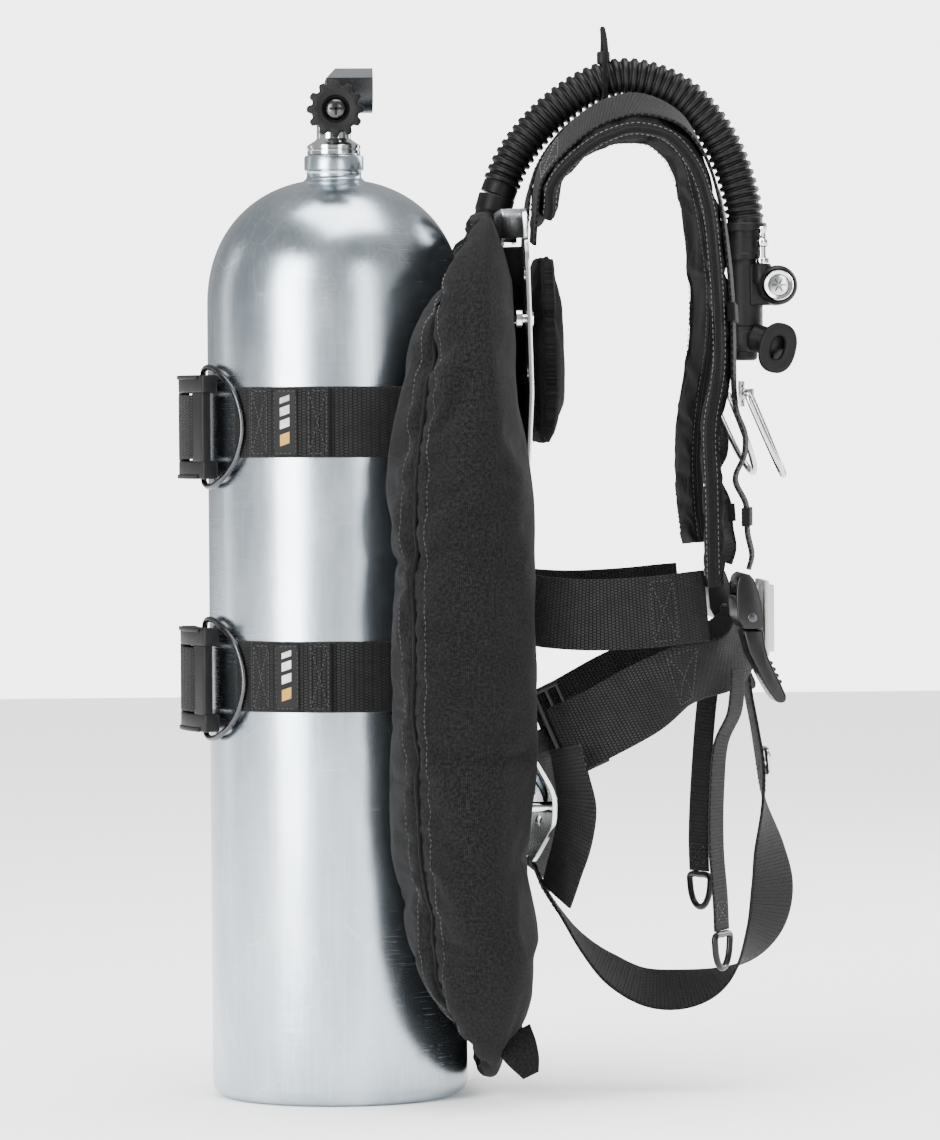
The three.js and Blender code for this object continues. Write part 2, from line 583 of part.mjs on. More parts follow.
const SIDE_STRAP = [[134.5, 112, 352, 0, 0, 25], [144, 119, 350.5, 0, 0, 25], [175, 124, 348.5, 0, 0, 25],
  [215, 122, 350, -1, 0, 25], [246, 113, 353, -2, 0, 25], [257, 108, 354, -2, 0, 25]];
const WAIST_BELT = [[153, 121, 259, -16, -6, 18.5], [176, 124, 270, -13, -3, 21], [210, 120, 288, -9, 0, 23.5],
  [238, 108, 303, -5, 8, 22], [262, 88, 309, 4, 10, 22], [284, 58, 318, 1, 2, 25],
  [297, 30, 334, 0, 0, 25], [302.4, 9, 342, 0, 0, 25]];

// A group on a strap's outer face: X along the strap, Y across it, Z out of it, lifted off its middle.
function onStrap(stations, at, lift) {
  const path = new THREE.CatmullRomCurve3(stations.map(([x, y, z]) => V(x, y, z)));
  const across = new THREE.CatmullRomCurve3(stations.map((s) => V(s[3], s[4], s[5])));
  const along = path.getTangent(at);
  const side = across.getPoint(at);
  side.addScaledVector(along, -side.dot(along)).normalize();
  const out = V(0, 0, 0).crossVectors(along, side);
  const p = path.getPoint(at).addScaledVector(out, lift);
  const group = groupAt(p.x, p.y, p.z);
  group.setRotationFromMatrix(new THREE.Matrix4().makeBasis(along, side, out));
  return group;
}

// A two-window slide: its bars run along Y, its strap along X.
function glideFrame(halfLong, halfWide, thick, barHalf) {
  const plate = box(-halfLong, halfLong, -halfWide, halfWide, -thick / 2, thick / 2);
  const window = (x0, x1) => box(x0, x1, -halfWide + 4, halfWide - 4, -thick, thick);
  return cut(plate, window(barHalf, halfLong - 4), window(-halfLong + 4, -barHalf));
}

const profileBlock = (points, half) =>
  new THREE.ExtrudeGeometry(new THREE.Shape(points.map(([x, z]) => new THREE.Vector2(x, z))),
    { depth: 2 * half, bevelEnabled: false }).rotateX(Math.PI / 2).translate(0, half, 0);

for (const [hand, s] of [["right", -1], ["left", 1]]) {
  add(`shoulder_pad_${hand}`,
    strap(shoulderStations(shoulderPad[hand], 33, s), 11, 18, PAD), "nylon");
  add(`shoulder_webbing_${hand}`,
    strap(shoulderStations(shoulderWeb[hand], WEB_HALF, s), WEB_T, 38), "webbing");
  add(`side_strap_${hand}`, strap(mirrored(SIDE_STRAP, s), WEB_T, 10), "webbing");
  add(`waist_belt_${hand}`, strap(mirrored(WAIST_BELT, s), WEB_T, 16), "webbing");

  const belt = mirrored(WAIST_BELT, s);
  const slider = onStrap(belt, 0.08, s * (WEB_T / 2 + 2 + 2));
  add(`belt_slider_${hand}`, glideFrame(11.5, 26, 4, 1.5), "plastic", slider);

  const buckle = groupAt(0, s * 104, 0);
  add(`release_buckle_${hand}`, cut(profileBlock([[276, 358], [277, 374], [282, 377.5], [288, 374], [294, 356],
    [295, 338], [281, 337.5], [276.5, 346]], 29), box(270, 300, -24, 24, 362, 368)), "plastic", buckle);
  add(`release_latch_${hand}`, profileBlock([[281.5, 337], [295.5, 337.4], [297, 326], [303, 309], [312, 291],
    [310, 285.5], [305, 286], [297, 298], [286, 319]], 22), "plastic", buckle);

  // A keeper slide on the chest webbing; its lug holds the bar of the chest ring.
  const chest = groupAt(288.2, s * 103, 503);
  chest.rotation.z = s * CHEST_TURN;
  const frame = box(-6.2, -3.8, -29, 29, -9, 9);
  const lug = box(-6, 3.6, -8, 8, -3.6, 3.6);
  add(`chest_slider_${hand}`, cut(join(frame, lug), rod("y", RING_R + GAP, -10, 10, [0, 0], 10),
    box(-8, -2, -25, 25, 4.6, 6.4), box(-8, -2, -25, 25, -6.4, -4.6)), "steel", chest);
  add(`chest_ring_${hand}`, closed(deeRing(27, 62, RING_R).rotateY(-rad(23))), "steel", chest);
}

// Adjuster tails hang from the belt and end in pull rings.
const PULL = {
  right: [[281, 80, 288], [279, 80, 276], [270, 80, 256], [266.5, 80, 222], [266, 80, 180], [268.5, 80, 146],
    [269.5, 80, 122]],
  left: [[276, 80, 288], [274, 80, 270], [272, 80, 248], [269, 80, 204], [268, 80, 175], [268.5, 80, 152]],
};
for (const [hand, s] of [["right", -1], ["left", 1]]) {
  const stations = PULL[hand].map(([x, y, z]) => [x, s * y, z, -6, s * 10.8, 0]);
  add(`pull_strap_${hand}`, strap(stations, WEB_T, 14), "webbing");
  const [x, y, z] = PULL[hand].at(-1);
  const hook = groupAt(x + 0.5, s * y, z - RING_R - GAP);
  hook.rotation.z = s * 0.5;
  add(`pull_ring_${hand}`, deeRing(13.5, 24, RING_R, 20), "plastic", hook);
}

const CROTCH = [[141, 0, 165, 0, 25, 0], [149, 0, 146, 0, 25, 0], [160, 0, 129, 0, 25, 2], [175, 0, 108, 0, 24, 6],
  [196, 0, 88, 0, 22, 11], [221, 0, 74.5, 0, 22, 12], [247, 0, 72.5, 2, 22, 12], [272, 0, 79, 6, 22, 9],
  [294, 0, 95, 12, 21, 4], [309, 0, 119, 16, 19, 0], [314, 0, 145, 17, 18, 0], [312, 0, 173, 13, 21, 0],
  [308, 0, 209, 3, 25, 0], [306, 0, 235, 0, 25, 0], [302, 0, 262, 0, 25, 0], [297, 0, 290, 0, 25, 0],
  [295, 0, 313, 0, 25, 0]];
add("crotch_strap", strap(CROTCH, WEB_T, 44), "webbing");
const frontRing = groupAt(309.5, 0, 246);
frontRing.rotation.y = -rad(6);
add("crotch_ring", deeRing(16, 17, 2, 20), "steel", frontRing);

function waistBuckle() {
  const frame = box(306.2, 309.4, -34, 34, 315, 369);
  const flap = box(306.2, 313, -34, -22, 318, 366);
  return cut(join(frame, flap), box(300, 320, -17, -9, 319, 365), box(300, 320, 12, 24, 319, 365));
}
add("waist_buckle", waistBuckle(), "steel");

export default rig;
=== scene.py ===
"""Looks for the back-mounted scuba set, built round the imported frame. Lengths in the tables are in
millimetres and become metres when a mesh is made. +X is the diver's front, -Y the diver's right."""
import math

import bmesh
import bpy
import numpy as np
from mathutils import Matrix, Vector, noise


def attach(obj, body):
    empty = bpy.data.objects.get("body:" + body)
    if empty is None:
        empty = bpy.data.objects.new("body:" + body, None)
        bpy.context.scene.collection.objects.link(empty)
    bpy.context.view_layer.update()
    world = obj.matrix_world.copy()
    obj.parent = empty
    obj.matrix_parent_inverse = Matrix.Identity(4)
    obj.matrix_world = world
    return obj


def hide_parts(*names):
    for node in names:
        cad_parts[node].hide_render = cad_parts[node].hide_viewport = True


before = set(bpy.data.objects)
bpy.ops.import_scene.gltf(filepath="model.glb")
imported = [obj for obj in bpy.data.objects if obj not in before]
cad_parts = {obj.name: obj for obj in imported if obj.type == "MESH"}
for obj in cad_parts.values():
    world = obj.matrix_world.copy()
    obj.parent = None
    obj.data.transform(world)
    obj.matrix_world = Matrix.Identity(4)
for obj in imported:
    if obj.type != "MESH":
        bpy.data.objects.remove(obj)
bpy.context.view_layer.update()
MM = 0.001

# ---- Dimensions shared with the frame ----
TANK_R = 92
DOME_Z = 568
DOME_RISE = 92
DOME_POWER = 2.2
NECK_TOP = 676.5
WEB_T = 2.4
WEB_HALF = 25
BAND_R = 92.6
BAND_HEIGHTS = {"upper": 485, "lower": 305}
INFLATOR = (304, 74)
HANDWHEEL_Z = NECK_TOP + 31
OUTLET_Z = NECK_TOP + 47.5
CHEST_TURN = 0.14

# ---- Materials ----


class Look:
    """A Principled material with short calls for its nodes."""

    def __init__(self, name, color, rough=0.5, metal=0.0, **fixed):
        self.material = bpy.data.materials.new(name)
        self.material.use_nodes = True
        self.nodes = self.material.node_tree.nodes
        self.links = self.material.node_tree.links
        self.shader = self.nodes["Principled BSDF"]
        self.shader.inputs["Base Color"].default_value = (*color, 1)
        self.shader.inputs["Roughness"].default_value = rough
        self.shader.inputs["Metallic"].default_value = metal
        for key, value in fixed.items():
            self.shader.inputs[key.replace("_", " ")].default_value = value

    def node(self, kind, props=None, **inputs):
        made = self.nodes.new("ShaderNode" + kind)
        for key, value in (props or {}).items():
            setattr(made, key, value)
        for key, value in inputs.items():
            numbered = key[0] == "i" and key[1:].isdigit()
            socket = made.inputs[int(key[1:]) if numbered else key.replace("_", " ")]
            if isinstance(value, bpy.types.NodeSocket):
                self.links.new(value, socket)
            else:
                socket.default_value = value
        return made

    def coords(self, which="Object", scale=(1, 1, 1)):
        """Coordinates in millimetres, stretched by scale."""
        base = self.node("TexCoord").outputs[which]
        factors = tuple(1000 * s for s in scale)
        return self.node("VectorMath", {"operation": "MULTIPLY"}, i0=base, i1=factors).outputs[0]

    def noise(self, vector, scale, detail=3.0, rough=0.5):
        made = self.node("TexNoise", Vector=vector, Scale=scale, Detail=detail, Roughness=rough)
        return made.outputs["Fac"]

    def remap(self, value, low, high, from_low=0.0, from_high=1.0):
        made = self.node("MapRange", Value=value)
        limits = {"From Min": from_low, "From Max": from_high, "To Min": low, "To Max": high}
        for key, number in limits.items():
            made.inputs[key].default_value = number
        return made.outputs["Result"]

    def math(self, operation, a, b=0.0):
        return self.node("Math", {"operation": operation}, i0=a, i1=b).outputs[0]

    def blend(self, factor, a, b):
        """A colour between two, each (r, g, b) or a socket."""
        made = self.node("Mix", {"data_type": "RGBA"})
        for socket, value in ((made.inputs[0], factor), (made.inputs[6], a), (made.inputs[7], b)):
            if isinstance(value, bpy.types.NodeSocket):
                self.links.new(value, socket)
            else:
                socket.default_value = value if isinstance(value, float) else (*value, 1)
        return made.outputs[2]

    def paint(self, color=None, rough=None):
        if color is not None:
            self.links.new(color, self.shader.inputs["Base Color"])
        if rough is not None:
            self.links.new(rough, self.shader.inputs["Roughness"])

    def bump(self, height, distance, strength=1.0):
        """Bumps stack: each new one is put under those before it."""
        made = self.node("Bump", Height=height, Distance=distance, Strength=strength)
        taken = self.shader.inputs["Normal"].links
        if taken:
            self.links.new(taken[0].from_socket, made.inputs["Normal"])
        self.links.new(made.outputs["Normal"], self.shader.inputs["Normal"])
        return self


def grey(tone):
    return (tone, tone, tone)


def weave(look, uv, gap_size, width, height):
    """How much of a gap between threads a place is, in a plain weave of such bricks."""
    made = look.node("TexBrick", {"offset": 0.5}, Vector=uv, Scale=1.0, Mortar_Size=gap_size,
                     Mortar_Smooth=1.0, Brick_Width=width, Row_Height=height)
    return made.outputs["Fac"]


def tank_aluminium():
    look = Look("tank_aluminium", (0.60, 0.64, 0.67), 0.24, 1.0, Anisotropic=0.3)
    brush = look.noise(look.coords(scale=(0.012, 0.012, 3.2)), 1.0, 4.0, 0.7)
    cloud = look.noise(look.coords(scale=(1, 1, 0.35)), 0.022, 5.0, 0.6)
    streak = look.noise(look.coords(scale=(0.35, 0.35, 0.012)), 1.0, 3.0, 0.6)
    tone = look.blend(look.remap(cloud, 0, 1, 0.35, 0.68), (0.36, 0.425, 0.48), (0.54, 0.60, 0.65))
    tone = look.blend(look.remap(streak, 0, 0.4, 0.45, 0.75), tone, (0.60, 0.66, 0.71))
    tone = look.blend(look.remap(brush, 0.0, 0.35, 0.3, 0.75), tone, (0.40, 0.44, 0.48))
    scratch = look.node("TexVoronoi", {"feature": "DISTANCE_TO_EDGE"},
                        Vector=look.coords(scale=(0.05, 0.05, 0.012)), Scale=1.0)
    wear = look.remap(scratch.outputs["Distance"], 1, 0, 0.0, 0.012)
    tone = look.blend(look.math("MULTIPLY", wear, 0.25), tone, (0.82, 0.83, 0.84))
    rough = look.math("ADD", look.remap(brush, 0.16, 0.30), look.remap(cloud, -0.03, 0.06))
    look.paint(tone, rough)
    # A band of plain punch marks round the shoulder, from the mesh's UVs: u round, v up, in metres.
    u, v, _ = look.node("SeparateXYZ", Vector=look.coords("UV")).outputs
    cell = look.math("FRACT", look.math("DIVIDE", u, 7.5))
    row = look.math("LESS_THAN", look.math("ABSOLUTE", look.math("SUBTRACT", v, 611.0)), 2.4)
    bar = look.math("LESS_THAN", look.math("ABSOLUTE", look.math("SUBTRACT", cell, 0.5)), 0.2)
    group = look.math("GREATER_THAN", look.math("SINE", look.math("DIVIDE", u, 17.0)), 0.05)
    mark = look.math("MULTIPLY", look.math("MULTIPLY", row, bar), group)
    look.bump(look.math("MULTIPLY", mark, -1.0), 0.0006)
    return look.bump(brush, 0.00006, 0.6).material


def polished(name, color, rough, dirt=0.06, metal=1.0):
    """Bright metal with faint wiping marks and small pits."""
    look = Look(name, color, rough, metal)
    wipe = look.noise(look.coords(scale=(1, 0.15, 1)), 0.35, 4.0, 0.65)
    dark = tuple(c * (1 - 3.0 * dirt) for c in color)
    tone = look.blend(look.remap(wipe, 0, 1, 0.35, 0.7), dark, color)
    look.paint(tone, look.remap(wipe, rough * 0.7, rough * 1.6))
    return look.bump(look.noise(look.coords(), 2.2, 2.0), 0.00003, 0.4).material


def brushed_plate():
    look = Look("plate_steel", (0.66, 0.67, 0.68), 0.24, 1.0, Anisotropic=0.4)
    grain = look.noise(look.coords(scale=(1, 0.04, 4.0)), 1.0, 4.0, 0.7)
    cloud = look.noise(look.coords(), 0.03, 3.0)
    tone = look.blend(look.remap(grain, 0, 1, 0.3, 0.7), (0.50, 0.51, 0.52), (0.74, 0.75, 0.76))
    look.paint(tone, look.math("ADD", look.remap(grain, 0.14, 0.26), look.remap(cloud, -0.04, 0.08)))
    return look.bump(grain, 0.00004, 0.6).material


def webbing(name="webbing", tone=0.0034, across=2.0, row=2.6, depth=0.0006):
    """Woven nylon tape: ribs across the strap, from UVs whose u runs across it and v along it."""
    look = Look(name, grey(tone), 0.72, 0.0, Sheen_Weight=0.03, Sheen_Roughness=0.4,
                Specular_IOR_Level=0.12)
    uv = look.coords("UV")
    gap = weave(look, uv, 0.42, across, row)
    length = look.node("SeparateXYZ", Vector=uv).outputs[1]
    rib = look.math("SINE", look.math("MULTIPLY", length, math.pi / row))
    worn = look.noise(look.coords(), 0.09, 4.0, 0.6)
    rubbed = (tone * 4.2, tone * 4.2, tone * 4.4)
    base = look.blend(look.remap(worn, 0, 1, 0.3, 0.7), grey(tone * 2.4), rubbed)
    # Painted shade: the gaps between the threads are darkened in the colour, standing in for the shade that
    # falls into them.
    shade = look.blend(look.remap(gap, 0, 1, 0.02, 0.5), base, grey(tone * 0.05))
    look.paint(shade, look.remap(worn, 0.58, 0.85))
    height = look.math("ADD", look.math("MULTIPLY", gap, -1.0), look.math("MULTIPLY", rib, 0.22))
    look.bump(look.noise(uv, 3.5, 2.0), 0.00008, 0.5)
    return look.bump(height, depth, 0.9).material


def cordura(name, tone, cell=1.25, crease=0.0011, sheen=0.03):
    """Coated pack cloth: a fine plain weave with soft creases and rubbed places."""
    look = Look(name, grey(tone), 0.8, 0.0, Sheen_Weight=sheen, Sheen_Roughness=0.45,
                Specular_IOR_Level=0.07)
    uv = look.coords("UV")
    gap = weave(look, uv, 0.2, cell * 1.2, cell * 0.7)
    speck = look.noise(uv, 0.55, 4.0, 0.75)
    rub = look.noise(look.coords(), 0.014, 5.0, 0.6)
    pale = (tone * 3.4, tone * 3.4, tone * 3.5)
    base = look.blend(look.remap(speck, 0, 1, 0.40, 0.62), grey(tone * 0.4), pale)
    base = look.blend(look.remap(rub, 0, 0.35, 0.45, 0.8), base, grey(tone * 2.3))
    # Painted shade: the gaps between the threads are darkened in the colour, standing in for the shade that
    # falls into them.
    shade = look.blend(look.math("MULTIPLY", gap, 0.85), base, grey(tone * 0.1))
    look.paint(shade, look.remap(rub, 0.66, 0.88))
    look.bump(look.noise(look.coords(), 0.045, 4.0, 0.55), crease, 0.8)
    look.bump(speck, 0.00012, 0.6)
    return look.bump(look.math("MULTIPLY", gap, -1.0), 0.0003, 0.8).material


def moulded(name, tone, rough, pit=0.9, coat=0.0):
    """Moulded plastic or rubber with a fine grain and handling marks."""
    look = Look(name, grey(tone), rough, 0.0, Coat_Weight=coat, Coat_Roughness=0.2,
                Specular_IOR_Level=0.2)
    smear = look.noise(look.coords(), 0.06, 4.0, 0.6)
    grain = look.noise(look.coords(), pit, 3.0, 0.6)
    shade = look.blend(look.remap(smear, 0, 1, 0.35, 0.7), grey(tone * 0.7), grey(tone * 1.6))
    look.paint(shade, look.remap(smear, rough * 0.8, min(rough * 1.35, 0.95)))
    look.bump(look.noise(look.coords(), 0.12, 2.0), 0.0002, 0.3)
    return look.bump(grain, 0.00007, 0.6).material


def thread(name, tone):
    look = Look(name, grey(tone), 0.6, 0.0, Sheen_Weight=0.3)
    twist = look.node("TexWave", {"bands_direction": "DIAGONAL"}, Vector=look.coords(), Scale=0.9,
                      Distortion=1.0)
    look.paint(look.blend(look.remap(twist.outputs["Fac"], 0, 1), grey(tone * 0.6), grey(tone * 1.5)))
    return look.bump(twist.outputs["Fac"], 0.0001, 0.6).material


def print_yellow():
    look = Look("print_yellow", (0.28, 0.15, 0.004), 0.6)
    grain = look.noise(look.coords(), 1.5, 3.0)
    look.paint(look.blend(grain, (0.24, 0.125, 0.003), (0.32, 0.175, 0.005)))
    return look.bump(grain, 0.0001).material


def floor_paint():
    look = Look("floor_paper", (0.93, 0.93, 0.93), 0.9, 0.0)
    fibre = look.noise(look.coords(), 0.02, 3.0)
    look.paint(look.blend(fibre, (0.92, 0.92, 0.92), (0.95, 0.95, 0.95)))
    return look.material


ALUMINIUM = tank_aluminium()
CHROME = polished("chrome", (0.80, 0.81, 0.82), 0.10)
DARK_CHROME = polished("valve_dark_satin", (0.04, 0.042, 0.044), 0.28)
STEEL = polished("ring_steel", (0.60, 0.61, 0.62), 0.16)
DARK_STEEL = polished("bail_dark_steel", (0.075, 0.075, 0.08), 0.24)
PLATE = brushed_plate()
BRASS = polished("brass", (0.62, 0.45, 0.20), 0.3)
WEBBING = webbing()
BAND_WEB = webbing("band_webbing", 0.0032, 2.1, 3.2, 0.0007)
TAPE = webbing("edge_tape", 0.0031, 1.2, 0.9, 0.00025)
WING_CLOTH = cordura("wing_cordura", 0.00383)
PAD_CLOTH = cordura("pad_cloth", 0.0027, 0.9, 0.0008, 0.03)
MESH_CLOTH = cordura("pad_mesh", 0.0027, 2.2, 0.0007, 0.03)
PLASTIC = moulded("black_plastic", 0.0027, 0.32, 0.8, 0.15)
SATIN_PLASTIC = moulded("satin_plastic", 0.00337, 0.45, 1.4)
RUBBER = moulded("black_rubber", 0.00315, 0.55, 1.8)
HOSE_RUBBER = moulded("hose_rubber", 0.00337, 0.42, 1.2)
KNOB_RUBBER = moulded("knob_rubber", 0.00315, 0.62, 2.2)
PATCH = moulded("patch_rubber", 0.00225, 0.6, 2.5)
PRINT_WHITE = moulded("print_white", 0.30, 0.6, 2.5)
PRINT_YELLOW = print_yellow()
THREAD = thread("black_thread", 0.004)
PALE = polished("pale_satin_steel", (0.62, 0.62, 0.60), 0.42)

# ---- Mesh helpers ----


def grid_faces(rows, count, closed=True, looped=False, capped=False):
    """Faces between rows of vertices: closed joins a row's ends, looped joins the last row to the first."""
    faces = []
    for i in range(rows if looped else rows - 1):
        here, there = i * count, (i + 1) % rows * count
        for k in range(count if closed else count - 1):
            turn = (k + 1) % count
            faces.append((here + k, here + turn, there + turn, there + k))
    if capped:
        faces += [tuple(range(count))[::-1], tuple(range((rows - 1) * count, rows * count))]
    return faces


def polar(radius, degrees, x=0.0, y=0.0, tall=None):
    """A point on a circle, or on an ellipse when tall is given."""
    a = math.radians(degrees)
    return x + radius * math.cos(a), y + (radius if tall is None else tall) * math.sin(a)


def towards_right(x, y, z):
    """Local X and Y become X and Z, and local Z points to the diver's right (-Y)."""
    return Matrix(((1, 0, 0, x), (0, 0, -1, y), (0, 1, 0, z), (0, 0, 0, 1)))


def towards_front(x, y, z):
    """Local X and Y become Y and Z, and local Z points to the front (+X)."""
    return Matrix(((0, 0, 1, x), (1, 0, 0, y), (0, 1, 0, z), (0, 0, 0, 1)))


def extruded(outline, z0, z1, at):
    """Verts and faces of an outline raised between two local heights."""
    verts = [at @ Vector((x, y, z)) for z in (z0, z1) for x, y in outline]
    sides = grid_faces(2, len(outline), capped=True)
    return verts, sides[-2:] + sides[:-2]


def piece(name, verts, faces, material, body="rig", replaces=(), uvs=None, sharp=None, slot=None):
    """A smooth-shaded mesh object that rides on a body; verts are in millimetres."""
    mesh = bpy.data.meshes.new(name)
    mesh.from_pydata([tuple(float(c) * MM for c in v) for v in verts], [], faces)
    if uvs is not None:
        layer = mesh.uv_layers.new(name="UVMap")
        index = np.zeros(len(mesh.loops), dtype=np.int32)
        mesh.loops.foreach_get("vertex_index", index)
        layer.data.foreach_set("uv", (np.asarray(uvs, float)[index] * MM).ravel())
    mesh.materials.append(material)
    made = bpy.data.objects.new(name, mesh)
    bpy.context.scene.collection.objects.link(made)
    mesh.polygons.foreach_set("use_smooth", [True] * len(mesh.polygons))
    if sharp is not None:
        mesh.set_sharp_from_angle(angle=math.radians(sharp))
    tidy_normals(mesh)
    return place(made, body, replaces)


def tidy_normals(mesh):
    bm = bmesh.new()
    bm.from_mesh(mesh)
    bmesh.ops.recalc_face_normals(bm, faces=bm.faces)
    bm.to_mesh(mesh)
    bm.free()


def place(made, body, replaces=()):
    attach(made, body)
    if replaces:
        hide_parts(*([replaces] if isinstance(replaces, str) else replaces))
    return made


def bake(made, sharp=35):
    """Turns an object's modifiers into its mesh, with smooth shading between sharp edges."""
    bpy.context.view_layer.update()
    done = bpy.data.meshes.new_from_object(made.evaluated_get(bpy.context.evaluated_depsgraph_get()))
    made.modifiers.clear()
    made.data = done
    done.polygons.foreach_set("use_smooth", [True] * len(done.polygons))
    done.set_sharp_from_angle(angle=math.radians(sharp))
    return made


def bevelled(made, width, segments=2, limit=32, sharp=40):
    edge = made.modifiers.new("edge", "BEVEL")
    edge.width = width * MM
    edge.segments = segments
    edge.limit_method = "ANGLE"
    edge.angle_limit = math.radians(limit)
    edge.harden_normals = False
    return bake(made, sharp)


def refined(node, material, body, bevel=0.8, segments=3, limit=32):
    """A softened copy of a CAD node that stands for it."""
    source = bpy.data.objects[node]
    mesh = source.data.copy()
    bm = bmesh.new()
    bm.from_mesh(mesh)
    bmesh.ops.remove_doubles(bm, verts=bm.verts, dist=1e-5)
    bmesh.ops.dissolve_limit(bm, angle_limit=math.radians(1.5), verts=bm.verts, edges=bm.edges)
    bm.to_mesh(mesh)
    bm.free()
    mesh.materials.clear()
    mesh.materials.append(material)
    made = bpy.data.objects.new(node + "_look", mesh)
    bpy.context.scene.collection.objects.link(made)
    made.matrix_world = source.matrix_world.copy()
    bevelled(made, bevel, segments, limit)
    return place(made, body, node)


def lathe_mesh(profile, sides=64, frame_=None):
    """Verts, faces and UVs of a turned surface about Z; radius 0 ends close it."""
    frame_ = frame_ or Matrix.Identity(4)
    verts, uvs = [], []
    run = 0
    widest = max(r for r, _ in profile)
    for i, (r, z) in enumerate(profile):
        if i:
            run += math.hypot(r - profile[i - 1][0], z - profile[i - 1][1])
        for k in range(sides + 1):
            a = 2 * math.pi * k / sides
            verts.append(frame_ @ Vector((max(r, 1e-4) * math.cos(a), max(r, 1e-4) * math.sin(a), z)))
            uvs.append((a * widest, run))
    return verts, grid_faces(len(profile), sides + 1, closed=False), uvs


def turned(name, profile, material, origin=(0, 0, 0), axis="z", sides=64, sharp=35, **where):
    turn = {"z": Matrix.Identity(4), "y": Matrix.Rotation(math.pi / 2, 4, "X"),
            "x": Matrix.Rotation(math.pi / 2, 4, "Y")}[axis]
    verts, faces, uvs = lathe_mesh(profile, sides, Matrix.Translation(origin) @ turn)
    made = piece(name, verts, faces, material, uvs=uvs, **where)
    bm = bmesh.new()
    bm.from_mesh(made.data)
    bmesh.ops.remove_doubles(bm, verts=bm.verts, dist=2e-6)
    bmesh.ops.recalc_face_normals(bm, faces=bm.faces)
    bm.to_mesh(made.data)
    bm.free()
    made.data.set_sharp_from_angle(angle=math.radians(sharp))
    return made


def prism(name, outline, depth, material, at=None, bevel=0.6, hole=None, **where):
    """An outline in XY raised along Z by depth, placed by a matrix, with softened edges."""
    verts, faces = extruded(outline, 0, depth, at or Matrix.Identity(4))
    made = piece(name, verts, faces, material, **where)
    for cutter in hole or []:
        carve(made, cutter)
    return bevelled(made, bevel, 3, 32)


def carve(made, shape):
    """Cuts an extruded shape, given as (outline, low, high, matrix), out of a piece."""
    mesh = bpy.data.meshes.new("cutter")
    verts, faces = extruded(*shape)
    mesh.from_pydata([v * MM for v in verts], [], faces)
    tidy_normals(mesh)
    cutter = bpy.data.objects.new("cutter", mesh)
    bpy.context.scene.collection.objects.link(cutter)
    cut = made.modifiers.new("cut", "BOOLEAN")
    cut.operation = "DIFFERENCE"
    cut.solver = "EXACT"
    cut.object = cutter
    bake(made)
    bpy.data.objects.remove(cutter)


def circle(radius, count=32, cx=0.0, cy=0.0):
    return [polar(radius, 360 * k / count, cx, cy) for k in range(count)]


def hexagon(radius):
    return [polar(radius, a) for a in range(30, 390, 60)]


def ring_section(radius, x, y=0.0):
    """The closed round section of a seal, for turning."""
    return [polar(radius, a, x, y) for a in range(0, 361, 30)]


def rectangle(x0, x1, y0, y1, corner=0.0, steps=5):
    if not corner:
        return [(x0, y0), (x1, y0), (x1, y1), (x0, y1)]
    out = []
    for cx, cy, start in ((x1 - corner, y0 + corner, -90), (x1 - corner, y1 - corner, 0),
                          (x0 + corner, y1 - corner, 90), (x0 + corner, y0 + corner, 180)):
        out += [polar(corner, start + 90 * k / steps, cx, cy) for k in range(steps + 1)]
    return out


def resample(rows, step):
    """Rows whose first three numbers are a point, resampled along a smooth curve through them."""
    rows = np.asarray(rows, float)
    rows = np.vstack([2 * rows[0] - rows[1], rows, 2 * rows[-1] - rows[-2]])
    gaps = np.sqrt(np.maximum(np.linalg.norm(np.diff(rows[:, :3], axis=0), axis=1), 1e-6))
    knot = np.concatenate([[0], np.cumsum(gaps)])
    dense = []
    for i in range(1, len(rows) - 2):
        p, t = rows[i - 1:i + 3], knot[i - 1:i + 3]
        for now in np.linspace(t[1], t[2], 14, endpoint=False):
            a = [((t[j + 1] - now) * p[j] + (now - t[j]) * p[j + 1]) / (t[j + 1] - t[j]) for j in range(3)]
            b = [((t[j + 2] - now) * a[j] + (now - t[j]) * a[j + 1]) / (t[j + 2] - t[j]) for j in range(2)]
            dense.append(((t[2] - now) * b[0] + (now - t[1]) * b[1]) / (t[2] - t[1]))
    dense = np.array(dense + [rows[-2]])
    run = np.concatenate([[0], np.cumsum(np.linalg.norm(np.diff(dense[:, :3], axis=0), axis=1))])
    count = max(2, int(round(run[-1] / step)))
    at = np.linspace(0, run[-1], count + 1)
    return np.stack([np.interp(at, run, dense[:, k]) for k in range(dense.shape[1])], axis=1), run[-1]


def unit(rows):
    return rows / np.maximum(np.linalg.norm(rows, axis=-1, keepdims=True), 1e-9)


class Strap:
    """A band's middle line with its directions: along it, across it and out of its face."""

    def __init__(self, stations, step=3.0):
        rows, self.length = resample(stations, step)
        self.middle = rows[:, :3]
        self.along = unit(np.gradient(self.middle, axis=0))
        side = rows[:, 3:6]
        self.half = np.linalg.norm(side, axis=1)
        side = side - self.along * np.sum(side * self.along, axis=1, keepdims=True)
        self.side = unit(side)
        self.out = np.cross(self.along, self.side)
        self.run = np.linspace(0, self.length, len(rows))

    def pick(self, values, s):
        if values.ndim == 1:
            return float(np.interp(s, self.run, values))
        return np.array([np.interp(s, self.run, values[:, k]) for k in range(3)])

    def at(self, s, u=0.0, lift=0.0):
        """The point at length s, u millimetres across and lift millimetres out of the middle."""
        return self.pick(self.middle, s) + self.pick(self.side, s) * u + self.pick(self.out, s) * lift

    def matrix(self, s, u=0.0, lift=0.0):
        """Local X along the strap, Y across it, Z out of it."""
        made = Matrix.Identity(4)
        for column, axis in enumerate((self.along, self.side, self.out)):
            made.col[column] = (*unit(self.pick(axis, s)), 0)
        made.translation = Vector(self.at(s, u, lift))
        return made


